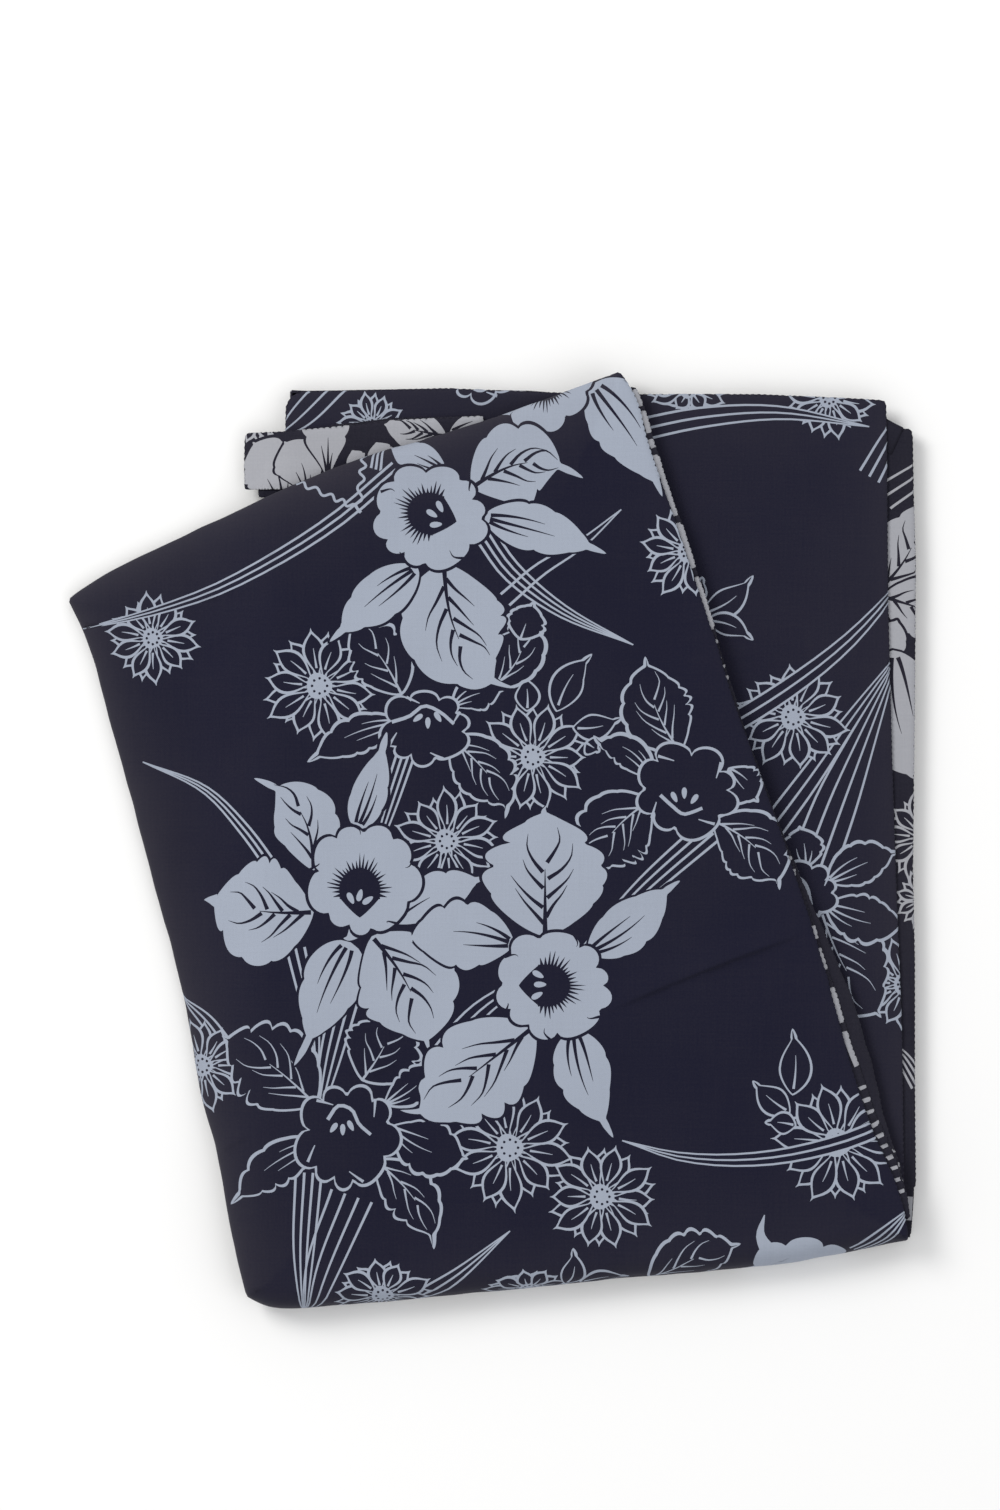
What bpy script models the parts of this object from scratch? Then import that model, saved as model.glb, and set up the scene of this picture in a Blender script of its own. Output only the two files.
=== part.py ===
# A cotton yukata robe, folded lengthwise and then across, lying flat on a surface.
# Metres, +Z up, +Y towards the open ends of the stacks, origin under the middle of the whole.
# The rear stack lies on the surface, and the front stack is folded over it and leans to the left.
import bpy
import numpy as np

MM = 0.001

# Heights above the surface, from the bottom layer up
WALL = 0.0012
GAP = 0.0003
STEP = WALL + GAP
REAR_TOP = 0.0119
FRONT_THICK = 0.0116
REAR_CORE_TOP = REAR_TOP - STEP
EDGE_DROP = 0.0005

# How far the front stack's cloth falls from the rear stack's left side down to the surface
DRAPE_REACH = 0.045
DRAPE_START = 0.004
TIP_SAG_REACH = 0.060

# How much the hidden layers are drawn in from the outlines
FRONT_INSET = 0.0021
REAR_INSET = 0.0025
# Over what length their edges change from wrapped in the panel to bare
BARE_FADE = 0.006

# How far each piece goes in under the one that covers it
TUCK = 0.034
TUCK_RAMP = 0.007
TUCK_ROOM = 0.020
# Nearer to the lower fold than this, both stacks are one
FOLD_REACH = 0.012
# Least thickness of the front stack's hidden layers
LEAST_THICK = 0.0004
# Where the under panel rises less than this, it lies flat on the surface
LEAST_RISE = 0.0001

# Rounding of the front panel's sides: how far in it starts, and how far down it goes
LEFT_ROLL = (0.010, 0.0100)
LOWER_ROLL = (0.012, 0.0172)
UPPER_ROLL = (0.013, 0.0060)
RIGHT_ROLL = (0.004, 0.0008)
UNDER_ROLL = (0.009, 0.0057)

# Rough width and length of each stack, and the cells of its panel across and up
FRONT_SIZE = (0.305, 0.400)
FRONT_CELLS = (22, 28)
REAR_SIZE = (0.320, 0.445)
REAR_CELLS = (15, 19)

# Plan outlines, a row for each bend: x, y in millimetres
FRONT_LEFT = ((-123, -229), (-132, -187), (-137, -160), (-145, -130), (-155, -77), (-170, -20),
              (-184, 32), (-196, 76), (-205, 105), (-213, 121))
FRONT_LOWER = ((-123, -229), (-111, -234), (-86, -233.5), (0, -226), (76, -218.5), (147, -212),
               (185, -205), (209, -200))
FRONT_RIGHT = ((209, -200), (204, -176), (188, -138), (176, -98), (161, -45), (144, 6), (124, 62),
               (108, 112), (96, 148), (80, 194), (72, 222), (64, 235))
FRONT_UPPER = ((-213, 121), (-196, 132.5), (-160, 150.5), (-117, 170), (-74, 188.5), (-28, 202.5),
               (19, 218), (64, 235))
REAR_LEFT = ((-119, -228), (-112, 0), (-105, 150), (-101, 226))
REAR_LOWER = ((-119, -228), (-86, -232), (0, -225), (76, -217), (147, -211), (211, -199))
REAR_RIGHT = ((211, -199), (212.5, -176), (211.5, -100), (212, 0), (212.5, 120), (211, 185), (207, 208))
REAR_UPPER = ((-101, 226), (-23, 227), (54, 224), (134, 223), (185, 218), (207, 208))

# The rear panel: what shows of its edge, and the hidden edge under the front stack
PANEL_SHOWN = ((-103, 165), (-103.8, 190), (-104, 207), (-103.3, 218), (-100.5, 223), (-95, 225.3),
               (-84, 226), (-55, 226.6), (-23, 227), (54, 224), (134, 224), (170, 223), (187, 221.5),
               (195, 219.5), (198, 214), (198.3, 203), (198.6, 180), (199, 120), (201, 40), (203, -20),
               (206, -100), (207, -186))
PANEL_HIDDEN = ((-80, 160), (-79, 161), (-75, 163), (-20, 176), (20, 186), (40, 180), (48, 172),
                (52, 165), (55, 158), (58, 148), (74, 100), (94, 44), (108, 4), (136, -80), (172, -180))
# The sleeve's layer: what shows of its edge, and the hidden edge under the rear panel
SLEEVE_SHOWN = ((211, 207), (211.5, 170), (213, 140), (212.5, 70), (211.5, -14), (212.5, -60),
                (211.5, -120), (213, -174))
SLEEVE_INSET = 52
STRIP_COLUMNS = 5
PANEL_ROWS = 40
SLEEVE_ROWS = 18
COLLAR_ROWS = 12

# Collar strips: the left end's x, the lower and upper edges there, and the same at the right end
COLLAR = {
    "left": -124,
    "left_low": 176,
    "left_high": 204.5,
    "right": -4,
    "right_low": 176,
    "right_high": 213,
}
OVER_COLLAR = {
    "left": -117,
    "left_low": 172,
    "left_high": 202,
    "right": -4,
    "right_low": 174,
    "right_high": 213.6,
}

# Overlap layers beside the front stack's right edge: share of the edge from below, how far out in mm
LEFT_OVERLAP_REACH = ((0.00, 1.0), (0.10, 2.0), (0.22, 2.6), (0.34, 1.6), (0.55, 0.8), (0.75, 2.4),
                      (0.92, 3.0), (1.00, 0.6))
RIGHT_OVERLAP_REACH = ((0.00, 1.2), (0.08, 2.6), (0.14, 6.5), (0.22, 10.5), (0.31, 9.5), (0.37, 2.0),
                       (0.60, -1.5), (1.00, -3.0))

OVERLAP_SPAN = (0.065, 0.985)
OVERLAP_ROWS = 26
OVERLAP_SAG = 0.25

# Hidden layers: share of the stack's height, and how far out each layer's rounded edge comes, in mm
FRONT_LAYERS = ((0.36, -0.4), (0.30, 0.5), (0.34, -0.8))
REAR_LAYERS = ((0.34, -0.6), (0.30, 0.8), (0.36, -0.2))
GROOVE = 0.0018
LIP = 0.16
# Near the stacks' corners the layers fade into one rounded side
CORNER_FADE = 0.012
# The front stack's hidden layers stay this far off the surface, so that only the panel below meets it
OFF_SURFACE = 0.0006
# Where the rear layers' grid has lines: distances in from one side, and from the opposite side, in mm
REAR_LINES_ACROSS = ((0, 10, 45, 110), (0, 20, 45, 85, 92, 99, 150))
REAR_LINES_UP = ((0, 1.4, 4.5, 9, 15, 60, 120, 190), (0, 8, 25, 80, 150))

# The largest creases of the front panel: ends x, y, height and half width, all in mm
CREASES = ((58, -84, 156, -46, 0.9, 9), (-62, -117, -48, -111, 0.4, 7), (-136, -154, -122, -146, 0.5, 6))

NAVY = (0.020, 0.021, 0.048)
DEEP_NAVY = (0.016, 0.017, 0.038)
WASHED_NAVY = (0.026, 0.027, 0.050)


def start_clean():
    for old in list(bpy.data.objects):
        bpy.data.objects.remove(old, do_unlink=True)
    robe = bpy.data.collections.new("folded_yukata")
    bpy.context.scene.collection.children.link(robe)
    cutters = bpy.data.collections.new("cutters")
    bpy.context.scene.collection.children.link(cutters)
    return robe, cutters


def cotton(name, colour):
    material = bpy.data.materials.new(name)
    material.use_nodes = True
    shader = material.node_tree.nodes["Principled BSDF"]
    shader.inputs["Base Color"].default_value = (*colour, 1.0)
    shader.inputs["Roughness"].default_value = 0.85
    shader.inputs["Metallic"].default_value = 0.0
    return material


# A smooth curve through a table's rows, read at shares 0 to 1 of its length
def along(rows, shares):
    points = np.array(rows, float) * MM
    steps = np.linalg.norm(np.diff(points, axis=0), axis=1)
    at = np.concatenate([[0.0], np.cumsum(steps)]) / steps.sum()
    slopes = np.gradient(points, at, axis=0)
    shares = np.asarray(shares, float)
    k = np.clip(np.searchsorted(at, shares, side="right") - 1, 0, len(at) - 2)
    width = (at[k + 1] - at[k])[:, None]
    t = (shares - at[k])[:, None] / width
    ends = (2 * t**3 - 3 * t**2 + 1) * points[k] + (3 * t**2 - 2 * t**3) * points[k + 1]
    turns = (t**3 - 2 * t**2 + t) * slopes[k] + (t**3 - t**2) * slopes[k + 1]
    return ends + turns * width


# A patch between four edges: rows run from left to right, columns from the lower edge up
def patch(left, lower, right, upper, across, up):
    u = across[:, None, None]
    v = up[None, :, None]
    a, b = along(left, up)[None, :, :], along(right, up)[None, :, :]
    c, d = along(lower, across)[:, None, :], along(upper, across)[:, None, :]
    corners = (1 - u) * ((1 - v) * c[:1] + v * d[:1]) + u * ((1 - v) * c[-1:] + v * d[-1:])
    return (1 - u) * a + u * b + (1 - v) * c + v * d - corners


# Shares from 0 to 1 with close steps where the cloth rolls over at either end
def stations(count, length, start_roll, end_roll, close=5):
    arc = 1 - np.cos(np.linspace(0, np.pi / 2, close))
    first = start_roll / length * arc
    last = 1 - end_roll / length * arc[::-1]
    middle = np.linspace(first[-1], last[0], count - 2 * close + 2)
    return np.concatenate([first, middle[1:-1], last])


# Shares of a length at given distances from its start and from its end
def lines_at(distances, length):
    near, far = (np.array(row) * MM / length for row in distances)
    return np.concatenate([near, 1 - far[::-1]])


# Rises from 0 to 1 with no corner at either end
def smooth(t):
    t = np.clip(t, 0, 1)
    return t * t * (3 - 2 * t)


# Distance inwards from an outline's side, positive inside
def inwards(plan, rows, inside_is_right):
    line = along(rows, np.linspace(0, 1, 60))
    start, step = line[:-1], np.diff(line, axis=0)
    flat = plan.reshape(-1, 1, 2)
    t = np.clip(((flat - start) * step).sum(-1) / (step**2).sum(-1), 0, 1)
    nearest = start + t[..., None] * step
    away = flat - nearest
    side = np.sign(step[:, 0] * away[..., 1] - step[:, 1] * away[..., 0])
    distance = np.linalg.norm(away, axis=-1)
    best = distance.argmin(axis=1)
    pick = np.arange(len(best))
    sign = side[pick, best] * (-1 if inside_is_right else 1)
    return (distance[pick, best] * sign).reshape(plan.shape[:-1])


def rear_left_x(y):
    rows = np.array(REAR_LEFT) * MM
    return np.interp(y, rows[:, 1], rows[:, 0])


# Height of what the front stack lies on: the rear stack, and the surface past its left side
def rest_height(plan):
    x, y = plan[..., 0], plan[..., 1]
    out = rear_left_x(y) - x
    fall = smooth((out + DRAPE_START) / (DRAPE_REACH + DRAPE_START))
    past = smooth((y - REAR_UPPER[2][1] * MM) / TIP_SAG_REACH)
    return REAR_TOP * (1 - fall) * (1 - 0.5 * past)


# A quarter of an ellipse: the drop of a rolled side at a distance inwards
def roll(distance, size):
    reach, depth = size
    t = np.clip(1 - distance / reach, 0, 1)
    return depth * (1 - np.sqrt(np.clip(1 - t * t, 0, 1)))


def creases(plan):
    height = np.zeros(plan.shape[:-1])
    for x0, y0, x1, y1, rise, half in CREASES:
        start = np.array((x0, y0)) * MM
        step = np.array((x1, y1)) * MM - start
        t = np.clip(((plan - start) * step).sum(-1) / (step**2).sum(), 0, 1)
        off = np.linalg.norm(plan - start - t[..., None] * step, axis=-1)
        height += rise * MM * np.exp(-((off / (half * MM)) ** 2))
    return height


def front_sides(plan):
    left = inwards(plan, FRONT_LEFT, True)
    lower = inwards(plan, FRONT_LOWER, False)
    right = inwards(plan, FRONT_RIGHT, False)
    upper = inwards(plan, FRONT_UPPER, True)
    return left, lower, right, upper


# Top face of the front stack under its panel's thickness `under`
def front_top(plan, under):
    left, lower, right, upper = front_sides(plan)
    drops = np.stack([
        roll(left - under, LEFT_ROLL),
        roll(lower - under, LOWER_ROLL),
        roll(right - under, RIGHT_ROLL),
        roll(upper - under, UPPER_ROLL),
    ])
    together = (drops**4).sum(axis=0) ** 0.25
    return rest_height(plan) + FRONT_THICK - under - together + creases(plan)


def mesh_object(name, points, faces, collection, material):
    mesh = bpy.data.meshes.new(name)
    mesh.from_pydata([tuple(p) for p in points], [], [tuple(f) for f in faces])
    mesh.validate()
    mesh.materials.append(material)
    made = bpy.data.objects.new(name, mesh)
    collection.objects.link(made)
    mesh.shade_smooth()
    mesh.set_sharp_from_angle(angle=np.radians(50))
    return made


def grid_faces(rows, columns, first=0, flip=False):
    i, j = np.meshgrid(np.arange(rows - 1), np.arange(columns - 1), indexing="ij")
    a = first + (i * columns + j).ravel()
    quads = np.stack([a, a + columns, a + columns + 1, a + 1], axis=1)
    return quads[:, ::-1] if flip else quads


# A layer of cloth: a grid of points, faces up, given its wall downwards by Solidify
def cloth_wall(name, points, collection, material):
    rows, columns = points.shape[:2]
    along_rows, along_columns = points[1:, :-1] - points[:-1, :-1], points[:-1, 1:] - points[:-1, :-1]
    faces_down = np.cross(along_rows, along_columns)[..., 2].sum() < 0
    faces = grid_faces(rows, columns, flip=faces_down)
    made = mesh_object(name, points.reshape(-1, 3), faces, collection, material)
    wall = made.modifiers.new("wall", "SOLIDIFY")
    wall.thickness = WALL
    wall.offset = -1.0
    wall.use_even_offset = False
    return made


def rim_order(rows, columns):
    index = np.arange(rows * columns).reshape(rows, columns)
    return np.concatenate([index[:, 0], index[-1, 1:], index[-2::-1, -1], index[0, -2:0:-1]])


# Distance along a grid's rim to its nearest corner
def from_corners(edge, rows, columns):
    steps = np.linalg.norm(np.roll(edge, -1, axis=0) - edge, axis=1)
    at = np.concatenate([[0.0], np.cumsum(steps)])
    total, at = at[-1], at[:-1]
    corners = at[[0, rows - 1, rows + columns - 2, 2 * rows + columns - 3]]
    apart = np.abs(at[:, None] - corners[None, :])
    return np.minimum(apart, total - apart).min(axis=1)


# A stack of hidden layers: a top grid, a bottom grid, and a side whose rings swing out and in
def layered_stack(name, plan, top, bottom, layers, bare, collection, material):
    rows, columns = top.shape
    rim = rim_order(rows, columns)
    edge = plan.reshape(-1, 2)[rim]
    ahead, behind = np.roll(edge, -1, axis=0), np.roll(edge, 1, axis=0)
    tangent = ahead - behind
    tangent /= np.linalg.norm(tangent, axis=1, keepdims=True)
    outward = np.stack([tangent[:, 1], -tangent[:, 0]], axis=1)
    high, low = top.ravel()[rim], bottom.ravel()[rim]
    shown = bare.ravel()[rim] * smooth(from_corners(edge, rows, columns) / CORNER_FADE)
    rings, done = [], 0.0
    for share, reach in layers:
        rings.append((done + LIP * share, reach * MM))
        rings.append((done + (1 - LIP) * share, reach * MM))
        rings.append((done + share, -GROOVE))
        done += share
    rings.pop()
    points = [np.column_stack([plan.reshape(-1, 2), top.ravel()])]
    for down, out in rings:
        ring = edge + outward * (out * shown)[:, None]
        points.append(np.column_stack([ring, high + (low - high) * down]))
    points.append(np.column_stack([plan.reshape(-1, 2), bottom.ravel()]))
    faces = [grid_faces(rows, columns)]
    count = rows * columns
    around = len(rim)
    loops = [rim]
    for k in range(len(rings)):
        loops.append(count + k * around + np.arange(around))
    loops.append(count + len(rings) * around + rim)
    for upper, lower in zip(loops[:-1], loops[1:]):
        faces.append(np.stack([upper, lower, np.roll(lower, -1), np.roll(upper, -1)], axis=1))
    faces.append(grid_faces(rows, columns, count + len(rings) * around, flip=True))
    return mesh_object(name, np.vstack(points), np.vstack(faces), collection, material)


def front_plan():
    across = stations(FRONT_CELLS[0], FRONT_SIZE[0], LEFT_ROLL[0], RIGHT_ROLL[0])
    up = stations(FRONT_CELLS[1], FRONT_SIZE[1], LOWER_ROLL[0], UPPER_ROLL[0])
    return patch(FRONT_LEFT, FRONT_LOWER, FRONT_RIGHT, FRONT_UPPER, across, up)


def front_panel(collection):
    plan = front_plan()
    points = np.dstack([plan, front_top(plan, 0.0)])
    return cloth_wall("left_body", points, collection, cotton("left_body", NAVY))


def rear_plan(across, up):
    return patch(REAR_LEFT, REAR_LOWER, REAR_RIGHT, REAR_UPPER, across, up)


# The plan drawn in towards its middle on every side
def drawn_in(plan, inset, size):
    middle = plan.mean(axis=(0, 1))
    return middle + (plan - middle) * (1 - 2 * inset / np.array(size))


# The same panel's stretch on the surface: flat, with its lower side rolled up to meet the fold
def under_panel(collection):
    across = np.linspace(0, 1, REAR_CELLS[0])
    up = stations(REAR_CELLS[1], REAR_SIZE[1], UNDER_ROLL[0], UPPER_ROLL[0])
    plan = rear_plan(across, up)
    lower = inwards(plan, REAR_LOWER, False)
    rise = roll(lower, UNDER_ROLL)
    points = np.dstack([plan, np.where(rise < LEAST_RISE, 0, rise)])
    made = cloth_wall("left_body_under", points, collection, cotton("left_body_under", DEEP_NAVY))
    made.modifiers["wall"].offset = 1.0
    return made


# A strip from the edge that shows to the hidden edge
def strip(shown, hidden, count):
    shares = np.linspace(0, 1, count)
    a, b = along(shown, shares)[:, None, :], along(hidden, shares)[:, None, :]
    t = np.linspace(0, 1, STRIP_COLUMNS)[None, :, None]
    return a + (b - a) * t


def rear_panel(collection):
    plan = strip(PANEL_SHOWN, PANEL_HIDDEN, PANEL_ROWS)
    z = np.full(plan.shape[:2], REAR_TOP)
    z[:, 0] -= EDGE_DROP
    return cloth_wall("right_body", np.dstack([plan, z]), collection, cotton("right_body", NAVY))


def sleeve_layer(collection):
    inner = tuple((x - SLEEVE_INSET, y) for x, y in SLEEVE_SHOWN)
    plan = strip(SLEEVE_SHOWN, inner, SLEEVE_ROWS)
    z = np.full(plan.shape[:2], REAR_TOP - STEP - EDGE_DROP)
    z[:, 0] -= EDGE_DROP
    points = np.dstack([plan, z])
    return cloth_wall("right_sleeve", points, collection, cotton("right_sleeve", WASHED_NAVY))


def collar_strip(name, sizes, level, collection):
    across = np.linspace(0, 1, COLLAR_ROWS)
    up = np.linspace(0, 1, STRIP_COLUMNS)
    x = (sizes["left"] + (sizes["right"] - sizes["left"]) * across) * MM
    low = (sizes["left_low"] + (sizes["right_low"] - sizes["left_low"]) * across) * MM
    high = (sizes["left_high"] + (sizes["right_high"] - sizes["left_high"]) * across) * MM
    y = low[:, None] + (high - low)[:, None] * up[None, :]
    plan = np.dstack([np.broadcast_to(x[:, None], y.shape), y])
    z = rest_height(plan) + level
    return cloth_wall(name, np.dstack([plan, z]), collection, cotton(name, WASHED_NAVY))


# A layer of the overlap beside the front stack's right edge, `level` under the panel's top face
def overlap_layer(name, reaches, level, collection):
    shares = np.linspace(*OVERLAP_SPAN, OVERLAP_ROWS)
    edge = along(FRONT_RIGHT, shares)
    tangent = np.gradient(edge, axis=0)
    tangent /= np.linalg.norm(tangent, axis=1, keepdims=True)
    outward = np.stack([tangent[:, 1], -tangent[:, 0]], axis=1)
    table = np.array(reaches)
    reach = np.interp(shares, table[:, 0], table[:, 1]) * MM
    inner = edge - outward * (TUCK - TUCK_RAMP)
    outer = edge + outward * reach[:, None]
    t = np.linspace(0, 1, STRIP_COLUMNS)[None, :, None] ** 0.5
    plan = inner[:, None, :] + (outer - inner)[:, None, :] * t
    z = rest_height(plan) + FRONT_THICK - level - RIGHT_ROLL[1]
    past = inwards(plan, FRONT_RIGHT, False)
    lower = inwards(plan, FRONT_LOWER, False)
    z -= OVERLAP_SAG * np.clip(-past, 0, None) + roll(lower - level, LOWER_ROLL)
    return cloth_wall(name, np.dstack([plan, z]), collection, cotton(name, DEEP_NAVY))


# How much higher the front stack's underside lies where it covers the collar strips
def over_collars(plan):
    low, right = OVER_COLLAR["left_low"] * MM, OVER_COLLAR["right"] * MM
    above = smooth((plan[..., 1] - low + TUCK_ROOM + TUCK_RAMP) / TUCK_RAMP)
    inside = above * smooth((right + TUCK + TUCK_RAMP - plan[..., 0]) / TUCK_RAMP)
    return (2 * STEP + GAP) * inside


def hidden_front(collection, material):
    plan = drawn_in(front_plan(), FRONT_INSET, FRONT_SIZE)
    lower, right, upper = front_sides(plan)[1:]
    beside = smooth((TUCK + TUCK_RAMP - right) / TUCK_RAMP)
    top = front_top(plan, STEP) - GAP - beside * (2 * STEP + RIGHT_ROLL[1])
    deep = smooth((np.minimum(right, upper) - TUCK - TUCK_ROOM) / TUCK_RAMP)
    inside_rear = smooth((plan[..., 0] - rear_left_x(plan[..., 1]) - LEFT_ROLL[0]) / TUCK_RAMP)
    fused = np.maximum(deep * inside_rear, smooth((FOLD_REACH - lower) / TUCK_RAMP))
    rest = rest_height(plan)
    on_rear = rest / REAR_TOP
    bottom = rest + GAP * on_rear + over_collars(plan) * on_rear
    bottom = bottom + (REAR_CORE_TOP - WALL - bottom) * fused
    bottom = np.maximum(bottom, OFF_SURFACE)
    top = np.maximum(top, bottom + LEAST_THICK)
    bare = smooth((2 * BARE_FADE - np.minimum(right, upper)) / BARE_FADE)
    return layered_stack("hidden_front", plan, top, bottom, FRONT_LAYERS, bare, collection, material)


def hidden_rear(collection, material):
    across = lines_at(REAR_LINES_ACROSS, REAR_SIZE[0])
    up = lines_at(REAR_LINES_UP, REAR_SIZE[1])
    plan = drawn_in(rear_plan(across, up), REAR_INSET, REAR_SIZE)
    lower = inwards(plan, REAR_LOWER, False)
    right = inwards(plan, REAR_RIGHT, False)
    sleeve = smooth((SLEEVE_INSET * MM + 2 * TUCK_ROOM - right) / TUCK_RAMP)
    top = REAR_CORE_TOP - GAP - sleeve * (STEP + 2 * EDGE_DROP)
    bottom = STEP + roll(lower - STEP, UNDER_ROLL)
    bare = smooth((lower - LOWER_ROLL[0]) / BARE_FADE)
    return layered_stack("hidden_rear", plan, top, bottom, REAR_LAYERS, bare, collection, material)


# The hidden layers of both stacks are one solid, joined where the cloth turns at the lower fold
def hidden_layers(robe, cutters):
    material = cotton("folded_layers", DEEP_NAVY)
    front = hidden_front(robe, material)
    front.name = "folded_layers"
    rear = hidden_rear(cutters, material)
    rear.hide_render = True
    rear.display_type = "WIRE"
    join = front.modifiers.new("rear_layers", "BOOLEAN")
    join.operation = "UNION"
    join.solver = "EXACT"
    join.object = rear
    return front


def main():
    robe, cutters = start_clean()
    front_panel(robe)
    under_panel(robe)
    rear_panel(robe)
    sleeve_layer(robe)
    collar_strip("over_collar", OVER_COLLAR, STEP, robe)
    collar_strip("collar", COLLAR, 2 * STEP + GAP, robe)
    overlap_layer("left_overlap", LEFT_OVERLAP_REACH, STEP, robe)
    overlap_layer("right_overlap", RIGHT_OVERLAP_REACH, 2 * STEP, robe)
    hidden_layers(robe, cutters)


main()
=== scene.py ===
from itertools import chain

import bpy
import numpy as np
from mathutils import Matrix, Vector
from mathutils.geometry import delaunay_2d_cdt


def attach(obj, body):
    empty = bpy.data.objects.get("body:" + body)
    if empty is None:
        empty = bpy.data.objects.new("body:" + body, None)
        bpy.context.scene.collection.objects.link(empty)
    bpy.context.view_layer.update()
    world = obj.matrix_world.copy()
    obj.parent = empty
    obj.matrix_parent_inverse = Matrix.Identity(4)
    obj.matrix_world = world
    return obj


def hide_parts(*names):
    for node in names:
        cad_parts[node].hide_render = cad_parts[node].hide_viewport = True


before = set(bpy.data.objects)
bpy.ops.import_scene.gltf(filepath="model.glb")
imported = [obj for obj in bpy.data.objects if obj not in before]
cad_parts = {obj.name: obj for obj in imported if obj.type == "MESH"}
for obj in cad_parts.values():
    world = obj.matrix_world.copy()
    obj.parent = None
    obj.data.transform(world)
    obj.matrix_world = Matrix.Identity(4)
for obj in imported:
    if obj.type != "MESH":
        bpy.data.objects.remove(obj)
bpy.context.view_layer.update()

mm = 0.001

# The folded robe in metres: the cloth's thickness, the rear stack's top, the front stack's thickness, how far
# inside the rear stack's side its fall starts and how far outside it ends, and the sag of the upper tip
robe = {
    "wall": 0.0006,
    "rearTop": 0.0119,
    "frontThick": 0.0116,
    "drapeStart": 0.004,
    "drapeReach": 0.045,
    "tipSagStart": 0.224,
    "tipSagReach": 0.060,
}

# Plan outlines in millimetres, a row for each bend
frontSides = {
    "lower": ((-123, -229), (-111, -234), (-86, -233.5), (0, -226), (76, -218.5), (147, -212), (185, -205),
              (209, -200)),
    "right": ((209, -200), (204, -176), (188, -138), (176, -98), (161, -45), (144, 6), (124, 62), (108, 112),
              (96, 148), (80, 194), (72, 222), (64, 235)),
    "upper": ((64, 235), (19, 218), (-28, 202.5), (-74, 188.5), (-117, 170), (-160, 150.5), (-196, 132.5),
              (-213, 121)),
    "left": ((-213, 121), (-205, 105), (-196, 76), (-184, 32), (-170, -20), (-155, -77), (-145, -130),
             (-137, -160), (-132, -187), (-123, -229)),
}
rearSides = {
    "lower": ((-119, -228), (-86, -232), (0, -225), (76, -217), (147, -211), (211, -199)),
    "right": ((211, -199), (212.5, -176), (211.5, -100), (212, 0), (212.5, 120), (211, 185), (207, 208)),
    "upper": ((207, 208), (185, 218), (134, 223), (54, 224), (-23, 227), (-101, 226)),
    "left": ((-101, 226), (-105, 150), (-112, 0), (-119, -228)),
}
rearPanelSides = {
    "hidden": ((-103, 165), (-75, 163), (-20, 176), (20, 186), (48, 172), (62, 135), (84, 74), (104, 14),
               (122, -40), (144, -108), (172, -180), (207, -186)),
    "right": ((207, -186), (206, -100), (203, -20), (201, 40), (199, 120), (198.3, 203), (197.9, 219.4)),
    "upper": ((197.9, 219.4), (196.9, 220.9), (187, 221.6), (134, 224), (54, 224), (-23, 227), (-95, 225.3)),
    "left": ((-95, 225.3), (-100.5, 223), (-103.3, 218), (-103.8, 190), (-103, 165)),
}
sleeveSides = {
    "hidden": ((200, 207.4), (159, 207), (161, 140), (159.5, -14), (161, -176), (205, -176)),
    "right": ((205, -176), (211, -175.5), (213, -173), (212.5, -120), (212.5, -60), (211.5, -14), (212.5, 70),
              (213, 140), (212, 170), (211.4, 203), (210.6, 206.6), (200, 207.4)),
}
collarSides = {
    "hidden": ((-124, 176), (-60, 176), (-4, 176), (-4, 213)),
    "upper": ((-4, 213), (-14, 212.5), (-50, 210.8), (-72, 208.2), (-82, 207.2), (-104, 205.2), (-123, 204.6)),
    "left": ((-123, 204.6), (-124, 202), (-124.3, 190), (-124, 176)),
}
overCollarSides = {
    "hidden": ((-117, 172), (-60, 172), (-4, 174), (-4, 213)),
    "upper": ((-4, 213), (-50, 212), (-72, 209.2), (-80, 209), (-84, 204), (-117, 202)),
    "left": ((-117, 202), (-117.3, 190), (-117, 172)),
}

# How each kind of side turns down: reach in and drop of the upper quarter, then of the lower one, in mm
turns = {
    "frontLower": (12, 15.4, 9, 7.2),
    "frontLeft": (10, 7.2, 5, 3.9),
    "frontUpper": (13, 5.6, 1.0, 0.7),
    "frontRight": (4, 0.7, 0.4, 0.3),
    "softEdge": (3, 0.7, 0.3, 0.2),
    "flatEdge": (0.6, 0.2, 0.1, 0.1),
}

# How pale and warm the cloth is along each kind of side: real wear at the folds, and painted sheen of the rolled
# edges, strongest on the left and upper sides that face the light
wornAndSheenSides = {"frontLower": 0.55, "frontLeft": 1.0, "frontUpper": 1.0, "frontRight": 0.1, "softEdge": 0.45,
             "flatEdge": 0.0}

# Creases of the front panel: ends x, y, height, half width of the gentle side and of the sharp one, in mm
creaseRows = (
    (54, -86, 160, -44, 2.0, 10, 1.4),
    (96, -68, 150, -50, 0.6, 5, 1.8),
    (-62, -117, -46, -110, 0.6, 7, 1.8),
    (-137, -155, -121, -146, 0.7, 7, 1.8),
    (-146, 96, -124, 107, 0.4, 5, 1.5),
    (-20, -150, 40, -138, 0.35, 12, 5.0),
    (-90, 60, -60, 20, 0.30, 10, 6.0),
    (60, 60, 84, 20, 0.30, 9, 5.0),
)


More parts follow.
